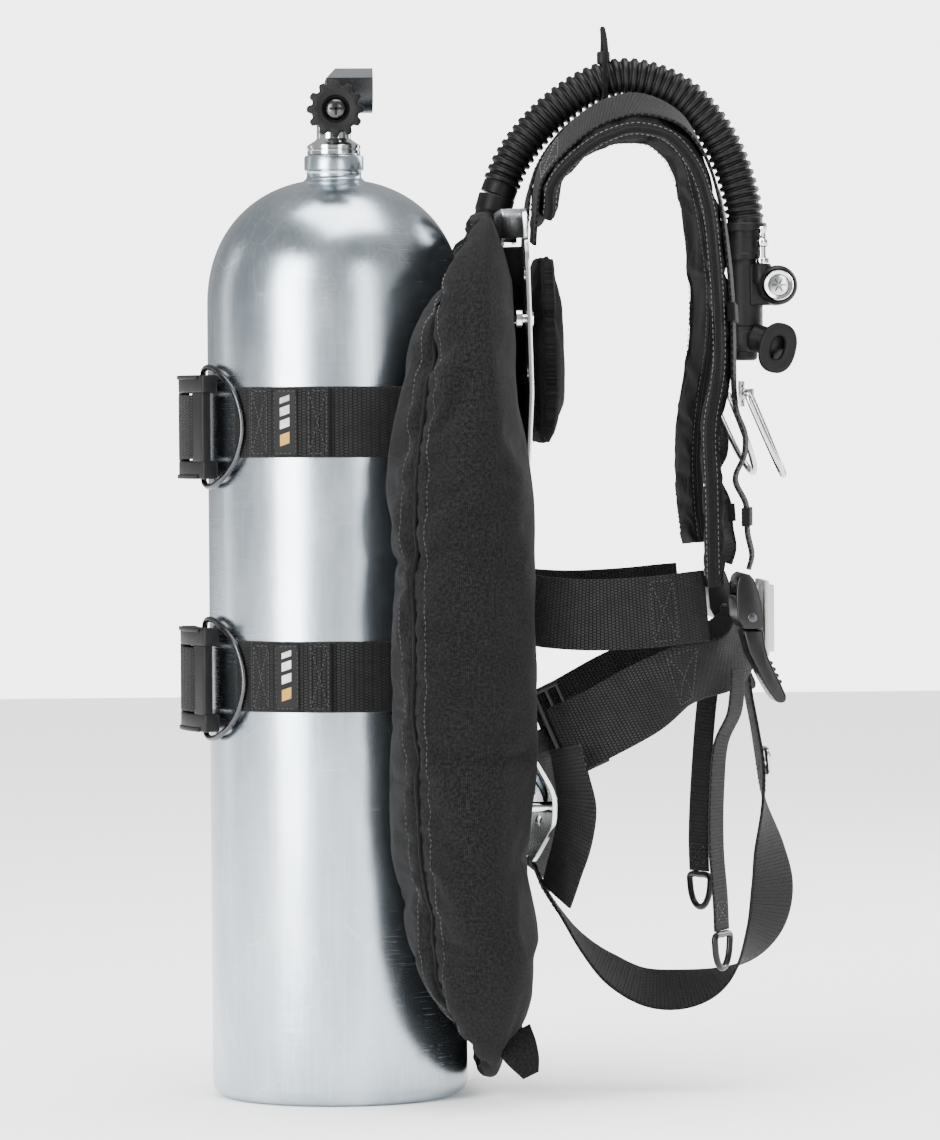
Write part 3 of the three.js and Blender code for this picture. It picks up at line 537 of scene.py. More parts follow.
# A tape's cross-section: shares of its half width and half thickness, with rounded edges.
TAPE_FACE = [(-1, 0.3), (-0.97, 0.85), (-0.9, 1), (-0.5, 1), (0, 1), (0.5, 1), (0.9, 1), (0.97, 0.85),
             (1, 0.3)]
TAPE_SECTION = TAPE_FACE + [(u, -v) for u, v in TAPE_FACE[::-1]]


def band(name, strap, thickness, material, section=TAPE_SECTION, shape=None, **where):
    """Skins a strap with a cross-section; shape(s, u, v) may return a change (du, dv) in millimetres."""
    verts, uvs = [], []
    for i, s in enumerate(strap.run):
        for u, v in section:
            across, lift = u * strap.half[i], v * thickness / 2
            if shape:
                du, dv = shape(s, u, v)
                across, lift = across + du, lift + dv
            verts.append(strap.middle[i] + strap.side[i] * across + strap.out[i] * lift)
            uvs.append((u * strap.half[i] + 100, s))
    faces = grid_faces(len(strap.run), len(section), capped=True)
    return piece(name, verts, faces, material, uvs=uvs, **where)


def smooth_line(points, step, closed):
    """Evenly spaced points on a curve, its directions and its length; a closed one meets its own start."""
    line, length = resample(list(points) + (list(points[:2]) if closed else []), step)
    if not closed:
        return line, unit(np.gradient(line, axis=0)), length
    first = resample(points, step)[0][0]
    half = len(line) // 2
    line = line[:half + int(np.argmin(np.linalg.norm(line - first, axis=1)[half:]))]
    return line, unit(np.roll(line, -1, axis=0) - np.roll(line, 1, axis=0)), length


def tube(name, points, radius, material, sides=16, step=1.5, closed=False, shape=None, ref=(0, 0, 1),
         **where):
    """A round tube along a smooth curve; shape(s) may scale its radius."""
    line, along, length = smooth_line(points, step, closed)
    side = np.cross(along, np.array(ref, float))
    for i in range(len(side)):
        if np.linalg.norm(side[i]) < 0.2:
            side[i] = side[i - 1] if i else np.cross(along[i], (1.0, 0.2, 0.0))
        elif i and np.dot(side[i], side[i - 1]) < 0:
            side[i] = -side[i]
    side = unit(side - along * np.sum(side * along, axis=1, keepdims=True))
    up = np.cross(along, side)
    verts, uvs = [], []
    for i in range(len(line)):
        s = length * i / max(len(line) - 1, 1)
        r = radius * (shape(s) if shape else 1)
        for k in range(sides):
            a = 2 * math.pi * k / sides
            verts.append(line[i] + side[i] * r * math.cos(a) + up[i] * r * math.sin(a))
            uvs.append((radius * a, s))
    faces = grid_faces(len(line), sides, looped=closed, capped=not closed)
    return piece(name, verts, faces, material, uvs=uvs, **where)


class Stitching:
    """Collects thread stitches for one body, and makes them one piece."""

    STITCH_FACES = ((0, 1, 5), (0, 5, 2), (1, 4, 5), (2, 5, 4), (1, 6, 4), (2, 4, 6), (3, 6, 1), (3, 2, 6))

    def __init__(self, name, body="rig"):
        self.name, self.body = name, body
        self.verts, self.faces = [], []

    def stitch(self, a, b, out, width=0.38, height=0.32):
        a, b, out = (np.asarray(v, float) for v in (a, b, out))
        line = unit(b - a)
        side = unit(np.cross(line, out))
        mid = (a + b) / 2
        base = len(self.verts)
        self.verts += [a, mid + side * width, mid - side * width, b, mid + out * height * 2]
        self.verts += [a * near + b * (1 - near) + out * height * 1.6 for near in (0.75, 0.25)]
        for face in self.STITCH_FACES:
            self.faces.append(tuple(base + i for i in face))

    def row(self, points, outs, pitch=3.4, fill=0.72):
        """Stitches along a polyline of surface points with their outward directions."""
        points, outs = np.asarray(points, float), np.asarray(outs, float)
        run = np.concatenate([[0], np.cumsum(np.linalg.norm(np.diff(points, axis=0), axis=1))])

        def pick(rows, s):
            return np.array([np.interp(s, run, rows[:, k]) for k in range(3)])

        for i in range(int(run[-1] / pitch)):
            s = (i + 0.15) * pitch
            self.stitch(pick(points, s), pick(points, s + pitch * fill), unit(pick(outs, s)))

    def on_strap(self, strap, corners, lift):
        """Stitches between (s, u) corners on a strap's face."""
        sign = 1 if lift > 0 else -1
        for (s0, u0), (s1, u1) in zip(corners, corners[1:]):
            count = max(3, int(math.hypot(s1 - s0, u1 - u0) / 3))
            steps = [(s0 + (s1 - s0) * k / count, u0 + (u1 - u0) * k / count) for k in range(count + 1)]
            outs = [strap.pick(strap.out, s) * sign for s, _ in steps]
            self.row([strap.at(s, u, lift) for s, u in steps], outs)

    def box(self, strap, s0, s1, half, lift):
        ring = [(s0, -half), (s1, -half), (s1, half), (s0, half), (s0, -half)]
        self.on_strap(strap, ring, lift)
        self.on_strap(strap, [(s0, -half), (s1, half)], lift)
        self.on_strap(strap, [(s0, half), (s1, -half)], lift)

    def done(self):
        return piece(self.name, self.verts, self.faces, THREAD, body=self.body)


def inflate(made, pressure, cap, frames=16, pins=None, loose=0.0):
    """Cloth simulation: the piece swells and wrinkles between its pinned seams, by at most cap mm."""
    scene = bpy.context.scene
    rest = np.array([v.co for v in made.data.vertices])
    if pins is not None:
        group = made.vertex_groups.new(name="seam")
        for i, weight in enumerate(pins):
            if weight > 0:
                group.add([i], float(weight), "REPLACE")
    cloth = made.modifiers.new("swell", "CLOTH")
    s = cloth.settings
    s.quality = 6
    s.mass = 0.25
    s.tension_stiffness = s.compression_stiffness = 12
    s.shear_stiffness = 4
    s.bending_stiffness = 0.35
    s.use_pressure = True
    s.uniform_pressure_force = pressure
    s.shrink_min = s.shrink_max = -loose
    s.effector_weights.gravity = 0
    if pins is not None:
        s.vertex_group_mass = "seam"
        s.pin_stiffness = 1.0
    cloth.collision_settings.use_collision = False
    cloth.point_cache.frame_start, cloth.point_cache.frame_end = 1, frames
    for now in range(1, frames + 1):
        scene.frame_set(now)
    done = made.evaluated_get(bpy.context.evaluated_depsgraph_get())
    moved = np.array([v.co for v in done.data.vertices])
    made.modifiers.remove(cloth)
    shift = moved - rest
    size = np.linalg.norm(shift, axis=1, keepdims=True)
    shift *= np.minimum(1, cap * MM / np.maximum(size, 1e-9))
    made.data.vertices.foreach_set("co", (rest + shift).ravel())
    made.data.update()
    scene.frame_set(1)
    made.vertex_groups.clear()
    return made


# ---- Camera, light and floor ----


def camera():
    target = Vector((0.0962, 0, 0.3775))
    azimuth, elevation, far = math.radians(-3), math.radians(1.5), 4.17
    back = Vector((math.sin(azimuth) * math.cos(elevation), -math.cos(azimuth) * math.cos(elevation),
                   math.sin(elevation)))
    data = bpy.data.cameras.new("camera")
    data.sensor_fit = "AUTO"
    data.sensor_width = 36
    data.lens = 182.4
    made = bpy.data.objects.new("camera", data)
    turn = (-back).to_track_quat("-Z", "Y").to_matrix().to_4x4()
    roll = Matrix.Rotation(math.radians(-0.37), 4, "Z")
    made.matrix_world = Matrix.Translation(target + back * far) @ turn @ roll
    bpy.context.scene.collection.objects.link(made)
    bpy.context.scene.camera = made


def soft_box(name, place_at, aim, size, power):
    data = bpy.data.lights.new(name, "AREA")
    data.shape = "RECTANGLE"
    data.size, data.size_y = size
    data.energy = power
    made = bpy.data.objects.new(name, data)
    turn = (Vector(aim) - Vector(place_at)).to_track_quat("-Z", "Y")
    made.matrix_world = Matrix.Translation(place_at) @ turn.to_matrix().to_4x4()
    bpy.context.scene.collection.objects.link(made)


def studio():
    floor = bpy.data.meshes.new("floor")
    floor.from_pydata([(-6, -6, 0), (6, -6, 0), (6, 6, 0), (-6, 6, 0)], [], [(0, 1, 2, 3)])
    floor.materials.append(floor_paint())
    ground = bpy.data.objects.new("floor", floor)
    bpy.context.scene.collection.objects.link(ground)
    world = bpy.data.worlds.new("studio")
    world.use_nodes = True
    bpy.context.scene.world = world
    tree = world.node_tree
    # What lights matt things, what shines in metal, and what is seen past the object.
    levels = {"matt": 2.5, "shine": 0.50, "seen": 4.6}
    layers = {}
    for name, strength in levels.items():
        layers[name] = tree.nodes.new("ShaderNodeBackground")
        layers[name].inputs["Color"].default_value = (1, 1, 1, 1)
        layers[name].inputs["Strength"].default_value = strength
    rays = tree.nodes.new("ShaderNodeLightPath")
    glossy = tree.nodes.new("ShaderNodeMixShader")
    tree.links.new(rays.outputs["Is Glossy Ray"], glossy.inputs[0])
    tree.links.new(layers["matt"].outputs[0], glossy.inputs[1])
    tree.links.new(layers["shine"].outputs[0], glossy.inputs[2])
    mix = tree.nodes.new("ShaderNodeMixShader")
    tree.links.new(rays.outputs["Is Camera Ray"], mix.inputs[0])
    tree.links.new(glossy.outputs[0], mix.inputs[1])
    tree.links.new(layers["seen"].outputs[0], mix.inputs[2])
    tree.links.new(mix.outputs[0], tree.nodes["World Output"].inputs["Surface"])
    soft_box("key", (-1.87, -2.05, 0.9), (0, 0, 0.38), (1.2, 2.6), 185)
    soft_box("fill", (1.3, -2.75, 1.1), (0.1, 0, 0.35), (0.7, 2.0), 30)
    soft_box("rim_left", (-2.3, 1.1, 0.8), (0, 0, 0.4), (0.4, 2.0), 5)
    soft_box("rim_right", (2.2, 1.6, 1.3), (0.2, 0, 0.4), (0.8, 2.0), 60)
    soft_box("top", (0.2, -0.2, 2.6), (0.1, 0, 0.3), (1.6, 1.6), 70)


camera()
studio()

# ---- Tank ----


def tank():
    outer = [(0, 0.8), (60, 0.8), (66, 0)]
    outer += [polar(12, a - 90, TANK_R - 12, 11, tall=11) for a in range(10, 91, 10)]
    outer += [(TANK_R, z) for z in range(60, 560, 40)]
    last = math.acos((27 / TANK_R) ** (DOME_POWER / 2))
    for i in range(33):
        a = last * i / 32
        wide, tall = math.cos(a) ** (2 / DOME_POWER), math.sin(a) ** (2 / DOME_POWER)
        outer.append((TANK_R * wide, DOME_Z + DOME_RISE * tall))
    outer += [(22.5, 658), (20.2, 660), (19.7, 662), (19.7, 664.6), (20.4, 665.6), (21.4, 666.2)]
    outer += [(21.4, 675.4), (20.8, 676.2), (20, NECK_TOP), (12.6, NECK_TOP), (12.6, 660), (0, 660)]
    made = turned("tank", outer, ALUMINIUM, sides=160, sharp=40, replaces="tank_shell", slot="aluminium")
    # The shoulder marks read their height from v, so it is the true height there.
    layer = made.data.uv_layers[0]
    for loop in made.data.loops:
        co = made.data.vertices[loop.vertex_index].co
        layer.data[loop.index].uv[1] = co.z
    return made


tank()

# ---- Valve ----


def valve():
    z = NECK_TOP
    collar = [(0, 0.4), (18.6, 0.4), (19.2, 1), (19.2, 3.2), (18.5, 3.7), (18.5, 4.3), (19.2, 4.8),
              (19.2, 7.0), (18.7, 7.6), (15.5, 9.6), (13.4, 11), (12.3, 12.2), (12.3, 36), (0, 36)]
    turned("neck_collar", collar, CHROME, (0, 0, z), sides=80, replaces="valve_body", slot="chrome")
    face = [polar(15.5, a, 0, 46) for a in range(180, 361, 10)]
    face += [(15.5, 55), (9.5, 62.3), (-9.5, 62.3), (-15.5, 55)]
    top_cut = ([(-20, 54.5), (-6, 54.5), (2.6, 64), (-20, 75)], -20, 20, towards_right(0, 0, z))
    bore = (circle(11.4, 48), 0, 30, towards_front(17, 0, OUTLET_Z))
    prism("valve_block", face, 34, DARK_CHROME, towards_front(-6, 0, z), 0.9, [top_cut, bore],
          slot="chrome")
    thread_turns = [(11.3, 0)] + [(11.3 - 0.45 * (i % 2), 0.9 * i) for i in range(12)]
    turned("outlet_thread", thread_turns, DARK_CHROME, (17.2, 0, OUTLET_Z), "x", 48, 60, slot="chrome")
    floor = [(0, 0), (3, 0), (3.4, -0.8), (10.9, -0.8)]
    turned("outlet_floor", floor, CHROME, (18, 0, OUTLET_Z), "x", 40)
    turned("outlet_ring", ring_section(1.3, 9), RUBBER, (15.8, 0, OUTLET_Z), "x", 48, 60,
           replaces="outlet_seal")
    arm = [(0, -21), (8, -21), (8.5, -20.4), (8.5, -2), (11, 0), (11, 24.6), (10.2, 25.9), (0, 25.9)]
    turned("bonnet_arm", arm, DARK_CHROME, (0, 0, HANDWHEEL_Z), "y", 56, slot="chrome")
    back = Matrix(((1, 0, 0, 0), (0, 0, 1, 20.3), (0, 1, 0, HANDWHEEL_Z), (0, 0, 0, 1)))
    prism("burst_disc_cap", hexagon(7), 6.6, CHROME, back, 0.7, replaces="burst_disc_plug", slot="chrome")
    nut = towards_right(0, -26.3, HANDWHEEL_Z)
    prism("bonnet_hex", hexagon(10), 6.6, CHROME, nut, 0.8, replaces="bonnet_nut", slot="chrome")
    turned("neck_ring", ring_section(1.25, 14.2, -1.7), RUBBER, (0, 0, z), "z", 64, 60,
           replaces="neck_seal")


def handwheel():
    count = 144
    lobe = [18.6 + 1.75 * math.tanh(2.6 * math.cos(12 * 2 * math.pi * k / count)) for k in range(count)]
    rims = [(-36.4, 0.55), (-36.0, 0.86), (-36.9, 0.96), (-38.6, 1.0), (-51.4, 1.0), (-53.2, 0.965),
            (-54.0, 0.88)]
    dish = [(-54.0, 13.2), (-53.4, 12.4), (-53.4, 10.4), (-53.0, 9.8), (-49.0, 9.5), (-49.0, 0.01)]
    # The rims that are drawn in are rounded off to 18 mm first, so their lobes fade.
    rings = [(y, [r * share if share > 0.9 else min(r, 18.0) * share for r in lobe]) for y, share in rims]
    rings += [(y, [r] * count) for y, r in dish]
    verts = []
    for y, radii in rings:
        for k, r in enumerate(radii):
            x, z = polar(r, 360 * k / count, 0, HANDWHEEL_Z)
            verts.append((x, y, z))
    piece("handwheel_grip", verts, grid_faces(len(rings), count), KNOB_RUBBER, "handwheel",
          "handwheel_knob", sharp=60, slot="rubber")
    dome = [(8.0, 48.6), (8.0, 51.5), (7.6, 52.4)]
    dome += [polar(7.2, a, 0, 52.4, tall=3.4) for a in range(10, 91, 10)]
    turned("handwheel_cap_nut", dome, DARK_STEEL, (0, 0, HANDWHEEL_Z), "y", 48, body="handwheel",
           replaces="handwheel_nut", slot="chrome")
    # Painted shade: two thin black sheets on the cap nut's tip stand for the dark inside its cross slot,
    # which is not cut.
    for name, wide, tall in (("cap_slot_a", 4.6, 0.9), ("cap_slot_b", 0.9, 4.6)):
        prism(name, rectangle(-wide, wide, -tall, tall, 0.4), 0.5, RUBBER,
              towards_right(0, -55.35, HANDWHEEL_Z), 0.1, body="handwheel")
    turned("spindle", [(0, 17), (3.9, 17), (3.9, 50.6), (0, 50.6)], STEEL, (0, 0, HANDWHEEL_Z), "y", 32,
           body="handwheel", replaces="valve_spindle", slot="steel")


valve()
handwheel()

# ---- Backplate ----
PLATE_X = [(171, 137), (180, 140), (201, 148.5), (222, 148.5), (236, 141), (250, 132), (275, 128),
           (334, 129.5),
           (414, 128.5), (450, 132.5), (505, 136), (556, 135), (600, 134), (640, 133)]
PLATE_FOOT, PLATE_HEAD = 171, 640
PLATE_HALF = [(171, 74), (200, 118), (240, 128), (340, 131), (430, 108), (510, 92), (600, 84), (640, 62)]
CHANNEL = 14
SCREWS = {"upper": (557, 66, 9), "lower": (212, 96, 22)}


def ramp(table, z):
    return float(np.interp(z, [row[0] for row in table], [row[1] for row in table]))


def smooth(a, b, x):
    t = min(max((x - a) / (b - a), 0), 1)
    return t * t * (3 - 2 * t)


def plate_x(z, y=60.0):
    depth = CHANNEL * smooth(200, 262, z)
    return ramp(PLATE_X, z) - depth * (1 - smooth(44, 58, abs(y)))


def plate_bend(z):
    """How far the plate's bent line is eased from its table's corners at a height."""
    near = [ramp(PLATE_X, min(max(z + d, PLATE_FOOT), PLATE_HEAD)) for d in (-6, -3, 0, 3, 6)]
    return sum(near) / 5 - ramp(PLATE_X, z)


def plate_corner(beyond, radius=14):
    """How far a rounded corner draws the edge in, this far beyond where it begins."""
    return radius - math.sqrt(max(radius ** 2 - max(0, beyond) ** 2, 0))


def plate_sheet(half_thick=1.5):
    """Verts and faces of the bent sheet: its front, its back, and the rim between them."""
    heights = np.arange(PLATE_FOOT, PLATE_HEAD + 0.1, 5.0)
    cols = np.linspace(-1, 1, 61)
    verts = []
    for side in (half_thick, -half_thick):
        for z in heights:
            half = ramp(PLATE_HALF, z) - (plate_corner(z - 626) + plate_corner(185 - z))
            for c in cols:
                y = c * half
                verts.append((plate_x(z, y) + plate_bend(z) + side, y, z))
    n, m = len(cols), len(heights)
    faces = []
    for face in grid_faces(m, n, closed=False):
        faces += [face, tuple(m * n + v for v in face[::-1])]
    rim = [i * n for i in range(m)] + [(m - 1) * n + j for j in range(1, n)]
    rim += [i * n + n - 1 for i in range(m - 2, -1, -1)] + list(range(n - 2, 0, -1))
    faces += [(a, b, m * n + b, m * n + a) for a, b in zip(rim, rim[1:] + rim[:1])]
    return verts, faces


def through_plate(outline):
    return outline, 90, 175, towards_front(0, 0, 0)


def plate_hole(y, z, radius, count=24):
    return through_plate(circle(radius, count, y, z))


def plate_slot(y, z, w, h):
    return through_plate(rectangle(y - w / 2, y + w / 2, z - h / 2, z + h / 2, min(w, h) * 0.45))


def backplate():
    made = piece("backplate_steel", *plate_sheet(), PLATE, replaces="backplate", slot="steel")
    holes = [plate_slot(0, 196, 54, 6), plate_hole(0, 395, 12, 40), plate_hole(0, 570, 12, 40)]
    for s in (-1, 1):
        holes += [plate_slot(s * 38, BAND_HEIGHTS["upper"], 6, 54),
                  plate_slot(s * 38, BAND_HEIGHTS["lower"], 6, 54), plate_slot(s * 50, 612, 54, 6),
                  plate_slot(s * 118, 352, 6, 56), plate_slot(s * 108, 258, 6, 50),
                  plate_hole(s * 92, 305, 11, 40), plate_hole(s * 90, 400, 11, 40)]
        holes += [plate_hole(s * y, z, 5) for y, z in ((66, 557), (96, 212), (76, 520), (70, 590))]
    for hole in holes:
        carve(made, hole)
    bevelled(made, 0.5, 2, 50, 50)
    plate_screws()


def plate_screws():
    for level, (z, y, reach) in SCREWS.items():
        for hand, s in (("right", -1), ("left", 1)):
            x = ramp(PLATE_X, z)
            head = [(0, -reach + 1.5), (3, -reach + 1.5), (3.2, -reach), (6.6, -reach), (7.4, -reach + 0.8),
                    (7.4, -reach + 4.6), (6.8, -reach + 5), (3.9, -reach + 5), (3.9, 1.9), (8, 1.9),
                    (8.4, 2.4),
                    (8.2, 3.6), (6.5, 4.4), (3.4, 4.4), (3.2, 2.6), (0, 2.6)]
            turned(f"{level}_screw_{hand}", head, CHROME, (x, s * y, z), "x", 36,
                   replaces=f"{level}_plate_screw_{hand}", slot="steel")


backplate()

# ---- Cam bands ----


def on_ring(r, degrees, z=0.0):
    return (*polar(r, degrees), z)


def band_stations(z):
    mid = BAND_R + WEB_T / 2
    floor = ramp(PLATE_X, z) - CHANNEL
    touch = math.degrees(math.atan2(38, floor) + math.acos(mid / math.hypot(floor, 38)))
    front = floor + 1.5 + 1.7 + WEB_T / 2
    row = [on_ring(mid, a) for a in np.linspace(219, 360 - touch, 24)]
    row += [((row[-1][0] + floor) / 2 - 1, (row[-1][1] - 38) / 2, 0), (floor - 3, -38, 0),
            (front - 0.6, -36.8, 0),
            (front, -34, 0), (front, 0, 0), (front, 34, 0), (front - 0.6, 36.8, 0), (floor - 3, 38, 0)]
    back = [on_ring(mid, a) for a in np.linspace(touch, 175, 26)]
    row += [((back[0][0] + floor) / 2 - 1, (back[0][1] + 38) / 2, 0)] + back
    return [(x, y, z, 0, 0, WEB_HALF) for x, y, _ in row]


def arc_strap(r, a0, a1, z, half=WEB_HALF, count=24):
    return Strap([(*on_ring(r, a)[:2], z, 0, 0, half) for a in np.linspace(a0, a1, count)], 2.0)


def sector_block(name, r0, r1, a0, a1, z0, z1, material, bevel, body, **where):
    """A block between two radii and two angles round the tank."""
    count = max(3, int(abs(a1 - a0) / 1.5))
    angles = np.linspace(a0, a1, count)
    outline = [on_ring(r1, a)[:2] for a in angles] + [on_ring(r0, a)[:2] for a in angles[::-1]]
    return prism(name, outline, z1 - z0, material, Matrix.Translation((0, 0, z0)), bevel, body=body,
                 **where)


def cam_band(level, z):
    strap = Strap(band_stations(z), 2.0)
    band(f"{level}_band_webbing", strap, WEB_T, BAND_WEB, replaces=f"{level}_cam_band", slot="webbing")
    tail = arc_strap(BAND_R + WEB_T * 1.5 + 0.4, 229.5, 266, z, WEB_HALF - 0.3)
    band(f"{level}_band_tail", tail, WEB_T, BAND_WEB, slot="webbing")
    sewn = Stitching(f"{level}_band_stitches")
    outward = np.dot(tail.pick(tail.out, 10), tail.pick(tail.middle, 10) * (1, 1, 0))
    face = math.copysign(WEB_T / 2, outward)
    sewn.box(tail, 2.5, 15, WEB_HALF - 3, face)
    sewn.box(tail, tail.length - 15, tail.length - 2.5, WEB_HALF - 3, face)
    patch = arc_strap(BAND_R + WEB_T * 2 + 0.9, 241.5, 252.5, z, WEB_HALF - 1.5, 10)
    band(f"{level}_patch", patch, 1.0, PATCH, replaces=f"{level}_band_patch", slot="label")
    ring = [(1.3, -22), (patch.length - 1.3, -22), (patch.length - 1.3, 22), (1.3, 22), (1.3, -22)]
    sewn.on_strap(patch, ring, math.copysign(0.5, face))
    sewn.done()
    # A made-up mark: three pale bars and a yellow one.
    bars = [(-17, -9, PRINT_YELLOW), (-5, 1, PRINT_WHITE), (4, 10, PRINT_WHITE), (13, 17, PRINT_WHITE)]
    for i, (low, high, look) in enumerate(bars):
        at = patch.matrix(patch.length / 2, 0, math.copysign(0.45, face))
        if face < 0:
            at = at @ Matrix.Rotation(math.pi, 4, "X")
        skew = [(-3.6, low), (3.6, low + 2.4), (3.6, high + 2.4), (-3.6, high)]
        if face < 0:
            skew = [(x, -y) for x, y in skew]
        prism(f"{level}_mark_{i}", skew, 0.3, look, at, 0.1)
    buckle(level, z - 3)


def buckle(level, z):
    lever = f"{level}_lever"
    for name, z0, z1 in (("cheek_top", 24, 37), ("cheek_foot", -37, -24)):
        extra = {"replaces": f"{level}_cam_lever"} if name == "cheek_top" else {}
        sector_block(f"{level}_{name}", 100.5, 113, 177.5, 212, z + z0, z + z1, SATIN_PLASTIC, 1.6, lever,
                     slot="plastic", **extra)
        outer_end = max(z0, z1, key=abs)
        low, high = sorted((outer_end, outer_end * 0.92))
        sector_block(f"{level}_{name}_lip", 112.6, 114.2, 181, 208, z + low, z + high, SATIN_PLASTIC, 0.5,
                     lever, slot="plastic")
    sector_block(f"{level}_bar_far", 105.5, 113, 177.5, 186, z - 25, z + 25, SATIN_PLASTIC, 1.4, lever)
    sector_block(f"{level}_bar_grip", 105.5, 113, 203, 211.5, z - 25, z + 25, SATIN_PLASTIC, 1.4, lever)
    # The webbing's end, wound round the lever's bars.
    wound = [(107, 183), (103.6, 187), (103.2, 196), (104.2, 204), (108.5, 207.5), (112.4, 203),
             (113.4, 196), (113.0, 188), (110.5, 183.5)]
    strap = Strap([(*on_ring(r, a, z), 0, 0, 22.8) for r, a in wound], 1.5)
    band(f"{level}_lever_webbing", strap, WEB_T, BAND_WEB, body=lever, slot="webbing")
    bow = [(190.3, 33), (192.3, 39.5), (197, 42.3), (201.5, 42.4), (206, 41), (211, 37.6), (216, 32.4),
           (220.5, 25), (223.6, 15), (225.2, 5)]
    bail = [(190, h) for h in (-24, -12, 0, 12, 24)] + bow + [(a, -h) for a, h in bow[::-1]]
    tube(f"{level}_bail", [on_ring(97.3, a, z + h) for a, h in bail], 2.1, DARK_STEEL, 14, 2.0, True,
         body=f"{level}_bail",
         replaces=f"{level}_cam_bail", slot="steel")


for level_name, height in BAND_HEIGHTS.items():
    cam_band(level_name, height)

# ---- Wing ----
WING = {"y": 124, "z": 316, "half_height": 250, "half_tube": 51}
LOBE = [(60, 103, 32), (90, 99, 41), (130, 95, 46), (184, 85, 45), (255, 82, 47), (395, 82, 47),
        (465, 86, 45),
        (514, 91, 39), (563, 95, 35), (580, 98, 31)]
WING_STEPS, WING_SIDES = 300, 72
WING_SQUARENESS = 0.66
SEAM_AT = math.radians(134)
UV_ROUND = 45
WING_TUCKS = [(512, 8, 5.5), (389, 9, 6), (258, 12, 3), (150, 14, 3.5)]


def wing_station(turn):
    c, s = math.cos(turn), math.sin(turn)
    y = WING["y"] * math.copysign(abs(c) ** WING_SQUARENESS, c)
    z = WING["z"] + WING["half_height"] * math.copysign(abs(s) ** WING_SQUARENESS, s)
    lobe = smooth(0.3, 0.8, abs(y) / WING["y"])
    knots = [row[0] for row in LOBE]
    x = 110 + (np.interp(z, knots, [row[1] for row in LOBE]) - 110) * lobe
    thick = 13 + (np.interp(z, knots, [row[2] for row in LOBE]) - 13) * lobe + 13 * lobe * smooth(530,
                                                                                                  580, z)
    out = unit(np.array((0, c * WING["half_height"], s * WING["y"])))
    return np.array((x, y, z)), thick, out


def pucker(run, off, seed, pitch=16.0):
    """A wrinkle's height: folds that run off a seam and fade with distance from it."""
    fold = noise.noise(Vector((run / pitch, seed, off / 60)))
    fold += 0.5 * noise.noise(Vector((run / (pitch * 0.45), seed + 5, off / 30)))
    return fold * math.exp(-abs(off) / 22)


def angle_from(a, centre):
    """The signed angle from a centre, wrapped to half a turn either way."""
    return math.atan2(math.sin(a - centre), math.cos(a - centre))


def wing_surface():
    """Verts, faces and UVs of the wing, and how near each vertex is to a seam."""
    steps, sides = WING_STEPS, WING_SIDES
    turns = np.linspace(0, 2 * math.pi, 4001)
    lines = np.array([wing_station(t)[0] for t in turns])
    run = np.concatenate([[0], np.cumsum(np.linalg.norm(np.diff(lines, axis=0), axis=1))])
    verts, uvs, pins = [], [], []
    for i in range(steps):
        s = run[-1] * i / steps
        turn = float(np.interp(s, run, turns))
        middle, thick, out = wing_station(turn)
        for k in range(sides):
            a = 2 * math.pi * k / sides
            near = angle_from(a, SEAM_AT)
            off = near * UV_ROUND
            groove = math.exp(-(off / 3.2) ** 2)
            swell = 1 + 0.035 * noise.noise(Vector((middle[1] / 70, middle[2] / 90, a)))
            lift = 2.6 * pucker(s, off, 1.0 if near > 0 else 9.0) - 3.4 * groove
            lift += 1.6 * noise.noise(Vector((middle[2] / 34, math.cos(a) * 2.2, math.sin(a) * 2.2 + 7)))
            inner = math.exp(-(angle_from(a, -1.57) * UV_ROUND / 16) ** 2)
            lift += 2.2 * inner * noise.noise(Vector((s / 19, 3.3, 0)))
            for height, span, deep in WING_TUCKS:
                lift -= deep * math.exp(-((middle[2] - height) / span) ** 2) * math.exp(-abs(off) / 30)
            power = 0.82 - 0.14 * smooth(530, 580, middle[2])
            blunt = [math.copysign(abs(part) ** power, part) for part in (math.cos(a), math.sin(a))]
            x = (thick * swell + lift) * blunt[0]
            r = (WING["half_tube"] * swell + lift) * blunt[1]
            rise = 20 * smooth(470, 600, middle[2])
            verts.append(middle + np.array((x, 0, rise)) + out * r)
            uvs.append((s, a * UV_ROUND))
            pins.append(1.0 if groove > 0.6 else (0.35 if groove > 0.15 else 0.0))
    return np.array(verts), grid_faces(steps, sides, looped=True), uvs, pins


def keep_clear(made):
    """Presses the wing's skin off the tank, its bands and the plate."""
    for v in made.data.vertices:
        x, y, z = (c / MM for c in v.co)
        r = math.hypot(x, y)
        near_band = min(abs(z - h) for h in BAND_HEIGHTS.values())
        reach = 93.6 + 4.2 * (1 - smooth(27, 40, near_band)) + 0.6
        if z > DOME_Z:
            level = max(1 - ((z - DOME_Z) / DOME_RISE) ** DOME_POWER, 0.001)
            reach = TANK_R * level ** (1 / DOME_POWER) + 3
        if r < reach and z < 655:
            x, y = x * reach / r, y * reach / r
        behind_plate = 166 < z < 642 and abs(y) < ramp(PLATE_HALF, z) + 4
        stop = plate_x(min(max(z, 172), 639), y) - 2.4 if behind_plate else math.inf
        if abs(y) < 60 and near_band < 29:
            stop = min(stop, plate_x(z, y) - 5)
        if x > stop:
            x = stop
        v.co = (x * MM, y * MM, z * MM)
    made.data.update()


def wing():
    verts, faces, uvs, pins = wing_surface()
    made = piece("wing_bladder", verts, faces, WING_CLOTH, uvs=uvs, replaces="wing_cell", slot="nylon")
    inflate(made, 1.6, 7.0, 14, pins, 0.05)
    keep_clear(made)
    wing_piping(made)
    return made


